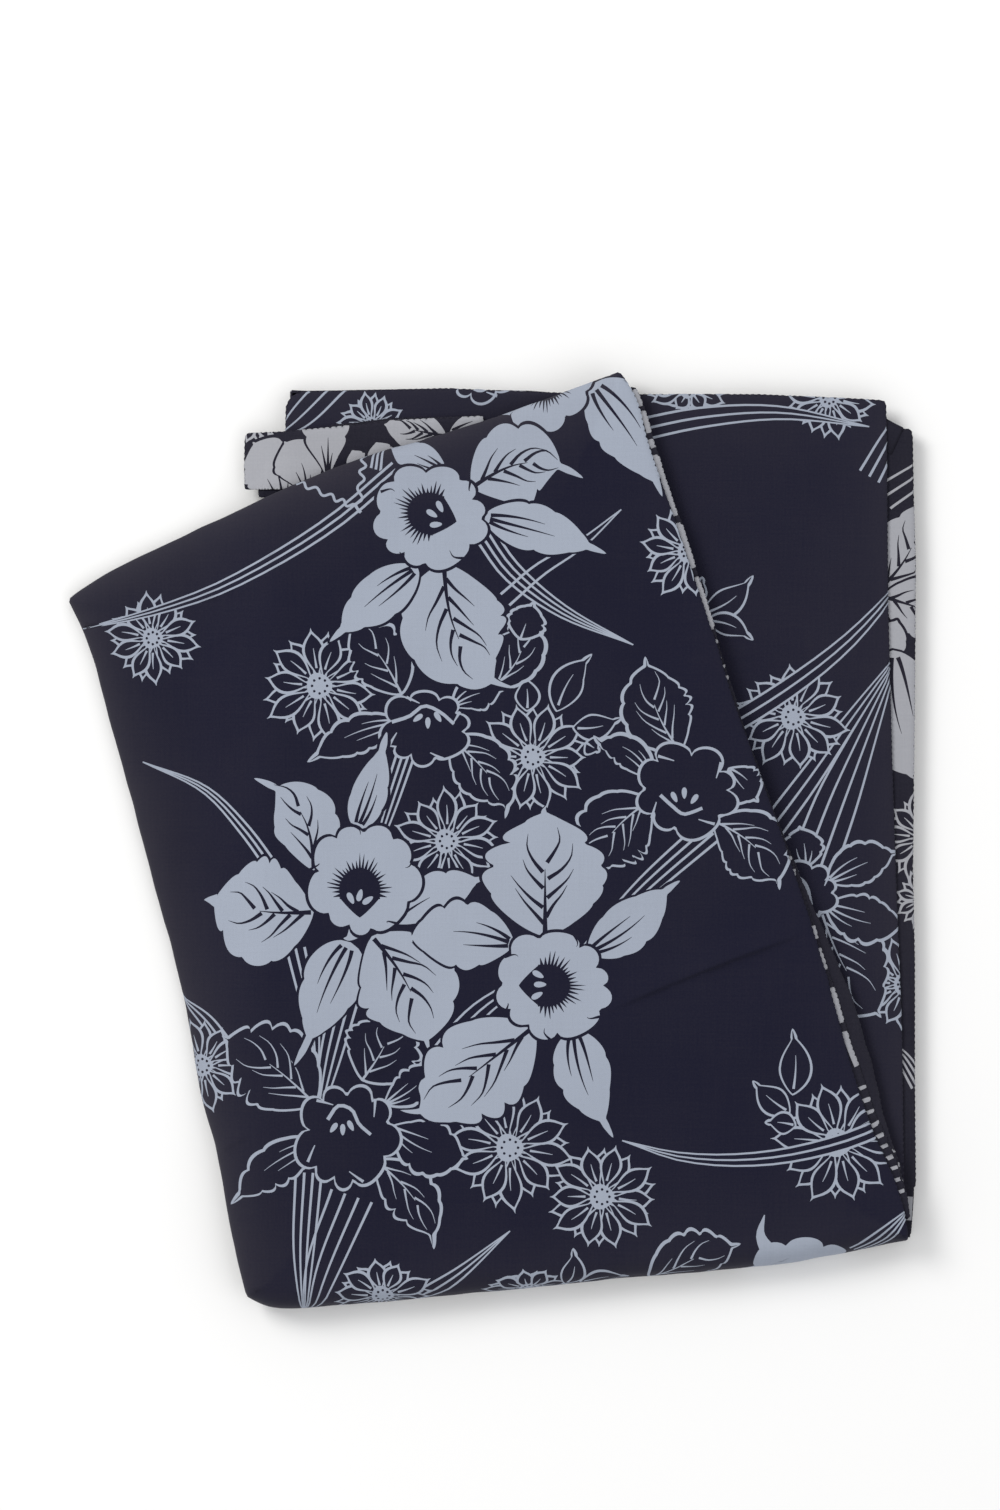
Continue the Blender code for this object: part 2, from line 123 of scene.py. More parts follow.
# Curve through rows: cubic pieces whose slopes are the rows' central differences, read at shares 0 to 1
def curveThrough(rows, shares):
    points = np.array(rows, float)
    steps = np.linalg.norm(np.diff(points, axis=0), axis=1)
    at = np.concatenate([[0.0], np.cumsum(steps)]) / steps.sum()
    slopes = np.empty_like(points)
    run = np.diff(points, axis=0) / np.diff(at)[:, None]
    slopes[1:-1] = (run[1:] + run[:-1]) / 2
    slopes[0], slopes[-1] = run[0], run[-1]
    k = np.clip(np.searchsorted(at, shares, side="right") - 1, 0, len(at) - 2)
    width = (at[k + 1] - at[k])[:, None]
    t = (shares - at[k])[:, None] / width
    ends = (2 * t**3 - 3 * t**2 + 1) * points[k] + (3 * t**2 - 2 * t**3) * points[k + 1]
    return ends + ((t**3 - 2 * t**2 + t) * slopes[k] + (t**3 - t**2) * slopes[k + 1]) * width


# Straight runs between rows, read at shares 0 to 1 of the whole length
def lineThrough(rows, shares):
    points = np.array(rows, float)
    at = np.concatenate([[0.0], np.cumsum(np.linalg.norm(np.diff(points, axis=0), axis=1))])
    return np.stack([np.interp(shares * at[-1], at, points[:, k]) for k in (0, 1)], axis=1)


# Length of a path: the sum of its steps
def lengthOf(points):
    return np.linalg.norm(np.diff(points, axis=0), axis=1).sum()


# Rises from 0 to 1 with no corner at either end
def smooth(t):
    t = np.clip(t, 0, 1)
    return t * t * (3 - 2 * t)


# Unit vectors to the left of a path: its gradient divided by its own length, turned by a quarter
def leftOf(path):
    ahead = np.gradient(path, axis=0)
    ahead /= np.linalg.norm(ahead, axis=1, keepdims=True)
    return np.stack([-ahead[:, 1], ahead[:, 0]], axis=1)


# A closed outline: points 1.5 mm apart, outward normals and one weight per kind of side, rounded at the corners
# by a circular average along the outline
def closedEdge(sides, kinds, soften=2, curved=True, uneven=0.0):
    points, labels = [], []
    for number, rows in enumerate(sides.values()):
        count = max(4, int(lengthOf(np.array(rows, float)) / 1.5))
        shares = np.linspace(0, 1, count + 1)[:-1]
        points.append(curveThrough(rows, shares) if curved else lineThrough(rows, shares))
        labels.append(np.full(count, number))
    points, labels = np.vstack(points) * mm, np.concatenate(labels)
    weights = (labels[:, None] == np.arange(len(kinds))[None, :]).astype(float)
    for _ in range(soften):
        points = (np.roll(points, 1, axis=0) + 2 * points + np.roll(points, -1, axis=0)) / 4
    for _ in range(10):  # a side's kind passes into the next over some 15 mm
        weights = (np.roll(weights, 1, axis=0) + weights + np.roll(weights, -1, axis=0)) / 3

    def normals():
        ahead = np.roll(points, -1, axis=0) - np.roll(points, 1, axis=0)
        ahead /= np.linalg.norm(ahead, axis=1, keepdims=True)
        return np.stack([ahead[:, 1], -ahead[:, 0]], axis=1)

    # small uneven bends, as of cloth folded by hand: a sum of whole numbers of waves round the outline
    turn = np.linspace(0, 2 * np.pi, len(points), endpoint=False)
    bends = sum(np.sin(turn * many + many**1.7) / many**0.5 for many in (17, 23, 31, 43, 59, 83))
    points = points + normals() * (bends * uneven * mm)[:, None]
    # the last entry is how much each kind of side is paled by wear and by painted edge sheen
    return {"points": points, "outward": normals(), "weights": weights,
            "turns": [turnTable(kind) for kind in kinds], "wornAndSheen": np.array([wornAndSheenSides[kind] for kind in kinds])}


# A side's profile as a table: distance inwards on the flat cloth, distance inwards once turned, drop.
# Two quarter ellipses; up to the point at 45 degrees the cloth keeps its place in plan, then follows the arc
def turnTable(kind):
    reach, drop, underReach, underDrop = np.array(turns[kind], float) * mm
    angle = np.linspace(0, np.pi / 2, 40)
    inwards = np.concatenate([reach * (1 - np.sin(angle)), underReach * (1 - np.cos(angle[1:]))])
    down = np.concatenate([drop * (1 - np.cos(angle)), drop + underDrop * np.sin(angle[1:])])
    arc = np.concatenate([[0.0], np.cumsum(np.hypot(np.diff(inwards), np.diff(down)))])
    steep = np.searchsorted(angle, np.arctan(reach / drop))
    flat = inwards.copy()
    flat[steep:] = inwards[steep] - (arc[steep:] - arc[steep])
    return {"flat": flat[::-1], "turned": inwards[::-1], "down": down[::-1], "past": -flat[-1], "reach": reach}


# Nearest place on an outline: signed distance inwards, weights of the side kinds and the inward direction.
# The nearest of every eighth point is found first, then the nearest of the segments round it
def nearestOn(edge, flat):
    start, out = edge["points"], edge["outward"]
    count = len(start)
    step = np.roll(start, -1, axis=0) - start
    coarse = start[::8]
    rough = (coarse**2).sum(axis=1)[None] - 2 * flat @ coarse.T
    picks = (rough.argmin(axis=1)[:, None] * 8 + np.arange(-10, 10)) % count
    gap = flat[:, None] - start[picks]
    steps = step[picks]
    t = np.clip((gap * steps).sum(-1) / (steps**2).sum(-1), 0, 1)
    away = gap - t[..., None] * steps
    far = (away**2).sum(-1)
    best = far.argmin(axis=1)
    row = np.arange(len(flat))
    share, pick, away = t[row, best][:, None], picks[row, best], away[row, best]
    side = np.sign(step[pick, 0] * away[:, 1] - step[pick, 1] * away[:, 0])
    after = (pick + 1) % count
    normal = -((1 - share) * out[pick] + share * out[after])
    weights = (1 - share) * edge["weights"][pick] + share * edge["weights"][after]
    normal /= np.linalg.norm(normal, axis=1, keepdims=True)
    return np.sqrt(far[row, best]) * side, weights / weights.sum(axis=1, keepdims=True), normal


# Flat cloth turned round its sides: plan moved inwards and drop, both blended from the side tables
def turnedDown(edge, flat):
    inward, weights, normal = nearestOn(edge, flat)
    moved, down = np.zeros(len(flat)), np.zeros(len(flat))
    for number, table in enumerate(edge["turns"]):
        place = np.where(inward > table["reach"], inward, np.interp(inward, table["flat"], table["turned"]))
        moved += weights[:, number] * place
        down += weights[:, number] * np.interp(inward, table["flat"], table["down"], right=0.0)
    return flat + normal * (moved - inward)[:, None], down, inward


# X of the rear stack's left side at a given y, on straight runs between its rows
def rearLeftX(y):
    rows = np.array(rearSides["left"][::-1], float) * mm
    return np.interp(y, rows[:, 1], rows[:, 0])


# Height that the front stack lies on: the rear stack's top, and a smooth fall to the surface past its left side
def restHeight(plan):
    x, y = plan[..., 0], plan[..., 1]
    fall = smooth((rearLeftX(y) - x + robe["drapeStart"]) / (robe["drapeReach"] + robe["drapeStart"]))
    past = smooth((y - robe["tipSagStart"]) / robe["tipSagReach"])
    return robe["rearTop"] * (1 - fall) * (1 - 0.5 * past)


# Slow unevenness of laid cloth: a sum of nine sines of 160 to 35 mm with seeded directions and phases
def waves(plan, seed, height):
    dice = np.random.default_rng(seed)
    length = np.geomspace(0.16, 0.035, 9)
    heading, phase = dice.uniform(0, np.pi, len(length)), dice.uniform(0, 2 * np.pi, len(length))
    across = plan[:, :1] * np.cos(heading) + plan[:, 1:2] * np.sin(heading)
    return height * (np.sin(2 * np.pi * across / length + phase) * (length / length[0]) ** 0.7).sum(axis=1)


# Creases: ridges along short bowed lines, each a bell curve across that is wide on one side and narrow on the
# other and fades over a quarter of its length at both ends
def creaseHeight(plan):
    height = np.zeros(len(plan))
    for x0, y0, x1, y1, rise, half, sharp in creaseRows:
        start = np.array((x0, y0)) * mm
        step = np.array((x1, y1)) * mm - start
        t = ((plan - start) * step).sum(-1) / (step**2).sum()
        bow = 0.012 * np.sin(np.pi * np.clip(t, 0, 1)) * np.hypot(*step)
        away = (step[0] * (plan - start)[:, 1] - step[1] * (plan - start)[:, 0]) / np.hypot(*step) - bow
        width = np.where(away > 0, half, sharp) * mm
        fade = smooth(t / 0.25) * smooth((1 - t) / 0.25)
        height += rise * mm * np.exp(-((away / width) ** 2)) * fade
    return height


# Extra mesh points beside the creases: six rows along each, at fixed distances in mm on both sides
def creasePoints():
    share = np.linspace(0, 1, 60)[:, None]
    rows = []
    for x0, y0, x1, y1, *_ in creaseRows:
        start, step = np.array((x0, y0)) * mm, np.array((x1 - x0, y1 - y0)) * mm
        aside = np.array((-step[1], step[0])) / np.hypot(*step)
        rows += [start + step * share + aside * offset * mm for offset in (-2.4, -1.4, -0.7, 0, 0.8, 2)]
    return np.vstack(rows)


# Points of a piece's face at a depth under it: the normal is the cross product of two small steps
def shellPoints(place, flat, depth):
    h = 0.0002
    dx, dy = np.array((h, 0.0)), np.array((0.0, h))
    normal = np.cross(place(flat + dx) - place(flat - dx), place(flat + dy) - place(flat - dy))
    return place(flat) - normal / np.linalg.norm(normal, axis=1, keepdims=True) * depth[:, None]


# A mesh with a cotton for each face, and at each point its place on the flat cloth and how pale it is from wear
# and from painted edge sheen
def meshObject(name, points, faces, materials, faceInk, flat, wearAndSheen):
    mesh = bpy.data.meshes.new(name)
    mesh.from_pydata(points.tolist(), [], faces)
    for material in materials:
        mesh.materials.append(material)
    mesh.polygons.foreach_set("material_index", faceInk.astype(np.int32))
    corners = np.empty(len(mesh.loops), np.int32)
    mesh.loops.foreach_get("vertex_index", corners)
    mesh.uv_layers.new(name="cloth").data.foreach_set("uv", flat[corners].astype(np.float32).ravel())
    mesh.attributes.new("wearAndSheen", "FLOAT", "POINT").data.foreach_set("value", wearAndSheen.astype(np.float32))
    mesh.polygons.foreach_set("use_smooth", np.ones(len(mesh.polygons), bool))
    mesh.update()
    made = bpy.data.objects.new(name, mesh)
    bpy.context.scene.collection.objects.link(made)
    return made


# What each piece's cut measures: length, width and area, filled in as the pieces are made
cuts = {}


# Even-odd rule: a point is inside when a ray from it to the right crosses an odd number of the edges
def insideOf(starts, ends, points):
    inside = np.zeros(len(points), bool)
    for (x0, y0), (x1, y1) in zip(starts[starts[:, 1] != ends[:, 1]], ends[starts[:, 1] != ends[:, 1]]):
        band = np.flatnonzero((y0 > points[:, 1]) != (y1 > points[:, 1]))
        inside[band] ^= x0 + (points[band, 1] - y0) / (y1 - y0) * (x1 - x0) > points[band, 0]
    return inside


# Rows from a list of the triangulation's vectors or index lists
def rowsOf(given):
    return np.array([tuple(row) for row in given])


# Printed cloth: a triangulated flat piece whose edges follow every motif, put in place by a function, with an
# inner face at the cloth's thickness and a rim between the two. Spacing is that of the mesh points, in mm
def printedCloth(name, edge, place, motifs, materials, spacing=3.0, extra=np.empty((0, 2)), pale=0.0):
    # the flat cloth ends beyond the outline by what turns under, and rings of points follow its bends
    reach = sum(edge["weights"][:, k] * table["past"] for k, table in enumerate(edge["turns"]))
    border = edge["points"] + edge["outward"] * reach[:, None]
    rings = [edge["points"] - edge["outward"] * (share * mm) for share in (0, 1, 2.2, 3.8, 5.8, 8.5, 12)
             if share < max(table["reach"] for table in edge["turns"]) * 1000 + 1]
    if reach.max() > 0.002:
        rings += [edge["points"] + edge["outward"] * (reach * share)[:, None]
                  for share in (0.15, 0.3, 0.45, 0.6, 0.75, 0.88)]
    low, high = border.min(axis=0), border.max(axis=0)

    def gridInside(size):  # points on a slanted grid that lie inside the outline
        x, y = np.meshgrid(np.arange(low[0], high[0], size * mm), np.arange(low[1], high[1], size * mm))
        grid = np.stack([x + (np.arange(len(x)) % 2)[:, None] * size * mm / 2, y], axis=-1).reshape(-1, 2)
        return grid[nearestOn(edge, grid)[0] > size * mm * 0.4]

    loose = np.vstack([gridInside(spacing), extra, *[ring[::2] for ring in rings]])
    loose = loose[np.unique(np.round(loose / 0.0002), axis=0, return_index=True)[1]]
    # a small jitter keeps loose points off the edges of the motifs
    inset = nearestOn(edge, loose)[0] > 0.4 * mm
    loose[inset] += np.random.default_rng(5).uniform(-0.1, 0.1, (int(inset.sum()), 2)) * mm
    shapes = [border] + [counterClockwise(toCloth(shape)) for shape, ink in motifs]
    inks = np.array([0] + [ink for shape, ink in motifs])
    starts = np.cumsum([0] + [len(shape) for shape in shapes])
    corners = [list(range(a, b)) for a, b in zip(starts[:-1], starts[1:])]
    flatPoints = np.vstack([*shapes, loose])
    cut = delaunay_2d_cdt([tuple(p) for p in flatPoints.tolist()], [], corners, 0, 1e-5, True)
    flat, triangles = rowsOf(cut[0]), rowsOf(cut[2])
    held = np.fromiter(map(len, cut[5]), int, len(cut[5]))
    triangles, held = triangles[held > 0], held[held > 0]
    sources = np.fromiter(chain.from_iterable(cut[5]), int)
    begins = np.concatenate([[0], np.cumsum(held)[:-1]])
    # a shape that crosses itself can fill more than its own area, and is left out
    corner = flat[triangles]
    sizes = np.cross(corner[:, 1] - corner[:, 0], corner[:, 2] - corner[:, 0]) / 2
    filled = np.bincount(sources, np.repeat(sizes, held), len(shapes))
    sound = filled < 1.3 * np.array([abs(areaOf(shape)) for shape in shapes]) + 1e-7
    if not sound.all():
        print(name, "crossed shapes left out:", np.flatnonzero(~sound)[:12])
    sources = np.where(sound[sources], sources, 0)
    # the faces inside the border, each with the ink of the last shape that covers it
    onCloth = np.logical_or.reduceat(sources == 0, begins)
    ink = inks[np.maximum.reduceat(sources, begins)][onCloth]
    triangles = triangles[onCloth]
    used, triangles = np.unique(triangles, return_inverse=True)
    flat, triangles = flat[used], triangles.reshape(-1, 3)
    # the rim: edges that no other face has the other way round
    a, b = triangles[:, [0, 1, 2]].ravel(), triangles[:, [1, 2, 0]].ravel()
    rim = ~np.isin(a * len(flat) + b, b * len(flat) + a)
    rimA, rimB = a[rim], b[rim]
    rimPoints, order = np.unique(np.concatenate([rimA, rimB]), return_inverse=True)
    # inner face: the rim's edges hold it, and a grid of 6 mm fills it
    inner = np.vstack([flat[rimPoints], gridInside(6.0)] + [ring[::5] for ring in rings])
    rimEdges = np.stack([order[:len(rimA)], order[len(rimA):]], axis=1)
    back = delaunay_2d_cdt([tuple(p) for p in inner.tolist()], rimEdges.tolist(), [], 1, 1e-6, True)
    backFlat, backFaces = rowsOf(back[0]), rowsOf(back[2])
    kept = insideOf(inner[rimEdges[:, 0]], inner[rimEdges[:, 1]], backFlat[backFaces].mean(axis=1))
    backFaces = backFaces[kept][:, ::-1] + len(flat)
    newIndex = np.full(len(inner), -1)
    newIndex[np.fromiter(chain.from_iterable(back[3]), int)] = np.repeat(
        np.arange(len(backFlat)), np.fromiter(map(len, back[3]), int))
    below = newIndex[:len(rimPoints)] + len(flat)
    lowerA, lowerB = below[np.searchsorted(rimPoints, rimA)], below[np.searchsorted(rimPoints, rimB)]
    rimFaces = np.stack([rimA, lowerA, lowerB, rimB], axis=1)
    backInward, backWeights, _ = nearestOn(edge, backFlat)
    fromBorder = backInward + backWeights @ np.array([table["past"] for table in edge["turns"]])
    thinning = 0.25 + 0.75 * smooth(fromBorder / 0.0025)  # a quarter of the thickness at the rim
    points = np.vstack([place(flat), shellPoints(place, backFlat, robe["wall"] * thinning)])
    faces = triangles.tolist() + backFaces.tolist() + rimFaces.tolist()
    faceInk = np.concatenate([ink, np.zeros(len(backFaces), int), ink[np.flatnonzero(rim) // 3]])
    allFlat = np.vstack([flat, backFlat])
    inward, weights, _ = nearestOn(edge, allFlat)
    # wear and painted sheen of the rolled edges fall off from each side as an exponential over 19 mm
    wearAndSheen = pale + np.exp(-np.clip(inward, 0, None) / 0.019) * (weights @ edge["wornAndSheen"])
    made = meshObject(name, points, faces, materials, faceInk, allFlat, wearAndSheen)
    # the cut's sides, along and across the outline's own main directions
    centred = border - border.mean(axis=0)
    turned = centred @ np.linalg.svd(centred, full_matrices=False)[2].T
    cuts[name] = [*np.ptp(turned, axis=0)[::-1].tolist(), abs(float(areaOf(border)))]
    print(name, len(motifs), "shapes", len(triangles), "printed faces", len(faces), "faces")
    return made


# Signed area of an outline: half the sum of the cross products of neighbouring corners
def areaOf(points):
    after = np.roll(points, -1, axis=0)
    return (points[:, 0] * after[:, 1] - points[:, 1] * after[:, 0]).sum() / 2


# The same outline with a positive area, reversed where it was negative
def counterClockwise(points):
    return points if areaOf(points) > 0 else points[::-1]


# The print's layout is in units of half a millimetre with y down; this point of it lies over the frame's origin
unit, middleX, middleY = 0.0005, 491.5, 841


# Layout units to metres: the distance from the origin times the unit, y turned up
def toCloth(points):
    points = np.asarray(points, float)
    return np.stack([(points[:, 0] - middleX) * unit, (middleY - points[:, 1]) * unit], axis=1)


# A tapered stroke: a curve through points with a half width that runs evenly from one end to the other
def stroke(points, startWidth, endWidth, count=12):
    path = curveThrough(points, np.linspace(0, 1, count))
    aside = leftOf(path)
    half = np.linspace(startWidth, endWidth, count)[:, None] / 2
    return np.vstack([path + aside * half, (path - aside * half)[::-1]])


# A petal's axis and half width: a swayed line from base to tip whose last stretch is a thin hooked tail, and a
# width that swells as a sine up to the tail, with its peak moved along it
def petalAxis(petal, count, grow=0.0):
    base, tip = np.array(petal["base"], float), np.array(petal["tip"], float)
    ahead = (tip - base) / np.linalg.norm(tip - base)
    base, tip = base - ahead * grow * 0.8, tip + ahead * grow
    length = np.linalg.norm(tip - base)
    aside = np.array((-ahead[1], ahead[0]))
    t = np.linspace(0, 1, count)
    tail = petal.get("tail", 0.14)
    late = np.clip((t - 1 + tail * 1.4) / (tail * 1.4 + 1e-6), 0, 1)
    sway = petal.get("bend", 0) * np.sin(np.pi * t) + petal.get("hook", 0) * late**2
    axis = base + ahead * (length * t)[:, None] + aside * (length * sway)[:, None]
    body = np.clip(t / (1 - tail * 0.75), 0, 1)
    power = np.log(0.5) / np.log(petal.get("peak", 0.55))
    wide = max(petal["width"] / 2 + grow, 0.6)
    half = wide * np.sin(np.pi * body**power).clip(0) ** petal.get("blunt", 0.7)
    thin = (petal.get("tailWidth", 3.4) + grow) * np.clip((1 - t) / 0.12, 0, 1) ** 0.6 * np.clip(t / 0.04, 0, 1)
    return axis, np.maximum(half, np.maximum(thin, 0)), t


# A petal's outline: the half width on both sides of the axis, scalloped by a rectified sine of uneven pace whose
# cusps point in, stronger towards the tip
def petalShape(petal, grow=0.0, count=64):
    axis, half, t = petalAxis(petal, count, grow)
    aside = leftOf(axis)
    ruffle, lobes, phase = petal.get("ruffle", 0.2), petal.get("lobes", 3.0), petal.get("phase", 0.0)
    share = smooth(t / 0.7) * smooth((1.02 - t) / 0.2)

    def side(shift):
        pace = lobes * t + 0.25 * np.sin(5 * t + phase + shift * 2)
        wave = np.abs(np.sin(np.pi * pace + phase + shift)) ** 0.55
        return half * (1 + ruffle * share * (wave - 0.8) * (0.8 + 0.5 * np.sin(7 * t + phase * 3 + shift)))

    left, right = axis + aside * side(0.0)[:, None], axis - aside * side(1.3)[:, None]
    return np.vstack([axis[:1], left[1:-1], axis[-1:], right[-2:0:-1]])


# Veins. None asked for: a short midrib. One pair: three strokes that lean off the axis by a share of the width.
# More: a midrib along the axis, and alternating veins that leave it at a slant, at an uneven share of the width
def petalVeins(petal, thick, reach=0.66):
    pairs = petal["pairs"]
    axis, half = petalAxis(petal, 41)[:2]
    aside = leftOf(axis)
    long = np.linalg.norm(axis[-1] - axis[0])
    if pairs < 1:
        return [stroke(axis[1:18:4], thick, 0.4, 10)]
    if pairs < 2:
        return [stroke((axis + aside * half[:, None] * lean)[2:int(40 * stop)], thick, 0.4, 12)
                for stop, lean in ((0.62, 0.10), (0.50, -0.28), (0.40, 0.42))]
    veins = [stroke(axis[1:int(40 * reach):5], thick, 0.6, 14)]
    for number in range(pairs):
        for side, late in ((-1, 0.0), (1, 0.07)):
            start = 0.10 + late + 0.42 * number / max(pairs - 1, 1)
            span = 0.26 + 0.04 * np.sin(number * 2.0 + side + long)
            at = np.linspace(start, min(start + span, 0.86), 4)
            k = (at * 40).astype(int)
            uneven = 0.95 + 0.22 * np.sin(number * 1.9 + side * 2 + long)
            out = np.array((0.04, 0.24, 0.40, 0.50)) * side * uneven
            veins.append(stroke(axis[k] + aside[k] * (half[k] * out)[:, None], thick * 0.85, 0.4, 9))
    return veins


# Points x, y turned by an angle and moved to a centre
def turnedBy(centre, x, y, angle):
    across, along = np.cos(angle), np.sin(angle)
    return np.array(centre) + np.stack([x * across - y * along, x * along + y * across], axis=1)


# A scalloped disc: the radius dips at each notch, as a low power of a rectified sine
def scallop(flower, depth, grow=0.0):
    turn, lobes = flower["turn"], flower["lobes"]
    angle = np.linspace(0, 2 * np.pi, 110, endpoint=False)
    pace = angle + 0.16 * np.sin(2 * angle + turn * 5) + 0.08 * np.sin(3 * angle + turn)
    dip = 1 - np.abs(np.sin(lobes * (pace - turn) / 2)) ** 0.45
    uneven = 1 + 0.04 * np.sin(2 * angle + turn * 3) + 0.03 * np.sin(5 * angle + turn)
    size = flower["radius"] * uneven * (1 - depth * dip) + grow
    return flower["centre"] + np.stack([size * np.cos(angle), size * np.sin(angle) * flower["squash"]], axis=1)


# The throat: fine spikes of uneven length over one half turn, a curve that comes to a point over the other
def throat(centre, radius, facing):
    angle = np.linspace(-np.pi, np.pi, 420, endpoint=False)
    front = smooth((np.cos(angle) + 0.42) / 0.3)
    saw = np.abs(((angle * 42 / np.pi + 0.2 * np.sin(9 * angle)) % 2) - 1) ** 1.6  # 42 spikes to the whole turn
    length = 0.34 + 0.10 * np.sin(4 * angle + 0.5) + 0.10 * np.sin(13 * angle + 1)
    behind = ((np.abs(np.cos(angle)) / 0.80) ** 1.15 + (np.abs(np.sin(angle)) / 0.80) ** 1.15) ** (-1 / 1.15)
    size = radius * (front * (0.64 + length * saw) + (1 - front) * behind)
    return turnedBy(centre, size * np.cos(angle), size * np.sin(angle) * 0.92, facing)


# An oval: cosine along and sine across, with the width a quarter less at one end and more at the other
def oval(centre, length, width, lean, count=14):
    angle = np.linspace(0, 2 * np.pi, count, endpoint=False)
    x, y = np.cos(angle) * length / 2, np.sin(angle) * width / 2 * (1 - 0.25 * np.cos(angle))
    return turnedBy(centre, x, y, lean)


navy, undyed = 0, 1


# A petal's row as a dictionary; the scallops' number and depth grow evenly with its width
def petalOf(row):
    petal = {"peak": 0.5, "bend": 0.0, "hook": 0.0}
    petal.update(zip(("base", "tip", "width", "pairs", "tail", "peak", "bend", "hook"), row))
    petal["phase"] = 0.05 * (petal["base"][0] + petal["tip"][1])
    petal["ruffle"] = 0.13 + 0.0013 * petal["width"]
    petal["lobes"] = 2.3 + petal["width"] / 34
    return petal


# An undyed petal with a navy gap round it and navy veins
def solidPetal(row):
    petal = petalOf(row)
    return [(petalShape(petal, 3.0), navy), (petalShape(petal), undyed),
            *((vein, navy) for vein in petalVeins(petal, 3.2 + petal["width"] / 65))]


# A flower with undyed petals, then its lip with notch lines, its throat and stamens
def solidOrchid(flower):
    shapes = []
    for row in flower.get("petals", ()):
        shapes += solidPetal(row)
    for points, thick in flower.get("curls", ()):
        shapes.append((stroke(points, thick, 1.0), undyed))
    centre, radius = np.array(flower["centre"], float), flower["radius"]
    shapes += [(scallop(flower, 0.20, 3.2), navy), (scallop(flower, 0.20), undyed)]
    shapes += [(stroke(points, thick, 1.0), undyed) for points, thick in flower.get("joined", ())]
    for turned, inner in flower.get("notches", ()):
        ray, near = (np.array((np.cos(a), np.sin(a) * flower["squash"])) * radius for a in (turned, turned + 0.16))
        line = (centre + ray * 0.99, centre + near * 0.85, centre + near * inner)
        shapes.append((stroke(line, 3.0, 0.4, 8), navy))
    shapes.append((throat(flower["throat"], radius * 0.62, flower["facing"]), navy))
    shapes += [(oval(place, 12.5, 5.8, lean), undyed) for place, lean in flower.get("stamens", ())]
    return shapes


# A petal drawn in undyed outline with undyed veins, more scalloped than a solid one
def wavyPetal(row):
    petal = petalOf(row)
    petal.update(ruffle=petal["ruffle"] * 1.4, lobes=petal["lobes"] * 1.6)
    return [(petalShape(petal, 0.5), undyed), (petalShape(petal, -2.7), navy),
            *((vein, undyed) for vein in petalVeins(petal, 2.6, 0.6))]


# A flower drawn in undyed outline only
def outlineOrchid(flower):
    shapes = []
    for row in flower.get("petals", ()):
        shapes += wavyPetal(row)
    shapes += [(scallop(flower, 0.27), undyed), (scallop(flower, 0.27, -3.0), navy)]
    for number in range(1, flower["lobes"], 2):
        angles = flower["turn"] + 2 * np.pi * number / flower["lobes"] + np.array((0.0, 0.12, 0.30))
        rays = np.stack([np.cos(angles), np.sin(angles) * flower["squash"]], axis=1) * flower["radius"]
        shapes.append((stroke(flower["centre"] + rays * ((0.86,), (0.74,), (0.62,)), 3.0, 1.0, 8), undyed))
    shapes.append((stroke(flower["arc"], 3.6, 3.2), undyed))
    shapes += [(oval(place, 11.5, 5.2, lean), undyed) for place, lean in flower.get("stamens", ())]
    return shapes


# A daisy: two rings of pointed outlined petals with centre lines, and a dotted undyed middle
def daisy(row):
    x, y, radius, count, turn, squash = row
    middle, count, shapes = np.array((x, y)), round(count * 0.6), []
    for ring, (reach, shift) in enumerate(((0.94, 0.5), (1.0, 0.0))):
        for number in range(count):
            angle = turn + 2 * np.pi * (number + shift + 0.10 * np.sin(number * 2.7 + y)) / count
            ahead = np.array((np.cos(angle), np.sin(angle) * squash))
            uneven = 1 + 0.07 * np.sin(3.7 * number + x)
            petal = {"base": middle + ahead * radius * 0.14, "tip": middle + ahead * radius * reach * uneven,
                     "width": radius * (0.32, 0.38)[ring], "peak": 0.60, "blunt": 0.95, "ruffle": 0.0,
                     "tail": 0.10, "tailWidth": 0.8, "bend": 0.05 * np.sin(number * 2.1 + y)}
            shapes.append((petalShape(petal, 0.6, count=15), undyed))
            shapes.append((petalShape(petal, -2.1, count=15), navy))
            if ring == 1:
                shapes.append((stroke(petalAxis(petal, 11)[0][2:7], 2.4, 0.5, 6), undyed))
    shapes.append((oval((x, y), radius * 0.44, radius * 0.44, 0, 20), undyed))
    away = radius * 0.13
    for angle in (number * 2 * np.pi / 8 for number in range(8)):
        shapes.append((oval((x + away * np.cos(angle), y + away * np.sin(angle)), 2.8, 2.8, 0, 7), navy))
    return shapes


# Blades of grass: strokes from one tip that spread evenly towards the other end
def grass(row):
    points, spread, lines = row
    points, thick = np.array(points, float), 2.2
    ahead = points[-1] - points[0]
    aside = np.array((-ahead[1], ahead[0])) / np.linalg.norm(ahead)
    along = np.sin(np.linspace(0, 1, len(points))[:, None] * 1.6) ** 0.8
    return [(stroke(points + aside * offset * spread * along, thick * 0.6, thick * 1.2, 16), undyed)
            for offset in np.linspace(-0.5, 0.5, lines)]


# Grass that covers what it crosses: a navy stroke as wide as its spread, and the blades on it
def overGrass(row):
    return [(stroke(row[0], 3, row[1] + 4, 16), navy), *grass(row)]


# A frilled line: a stroke between two points with rounded waves to one side
def frill(row):
    start, end, many, height = row
    start, end = np.array(start, float), np.array(end, float)
    t = np.linspace(0, 1, 40)[:, None]
    aside = np.array((start[1] - end[1], end[0] - start[0])) / np.linalg.norm(end - start)
    wave = 0.5 - 0.5 * np.cos(2 * np.pi * (many * t + 0.12 * np.sin(9 * t)))
    return [(stroke(start + (end - start) * t + aside * height * wave, 2.6, 2.6, 60), undyed)]


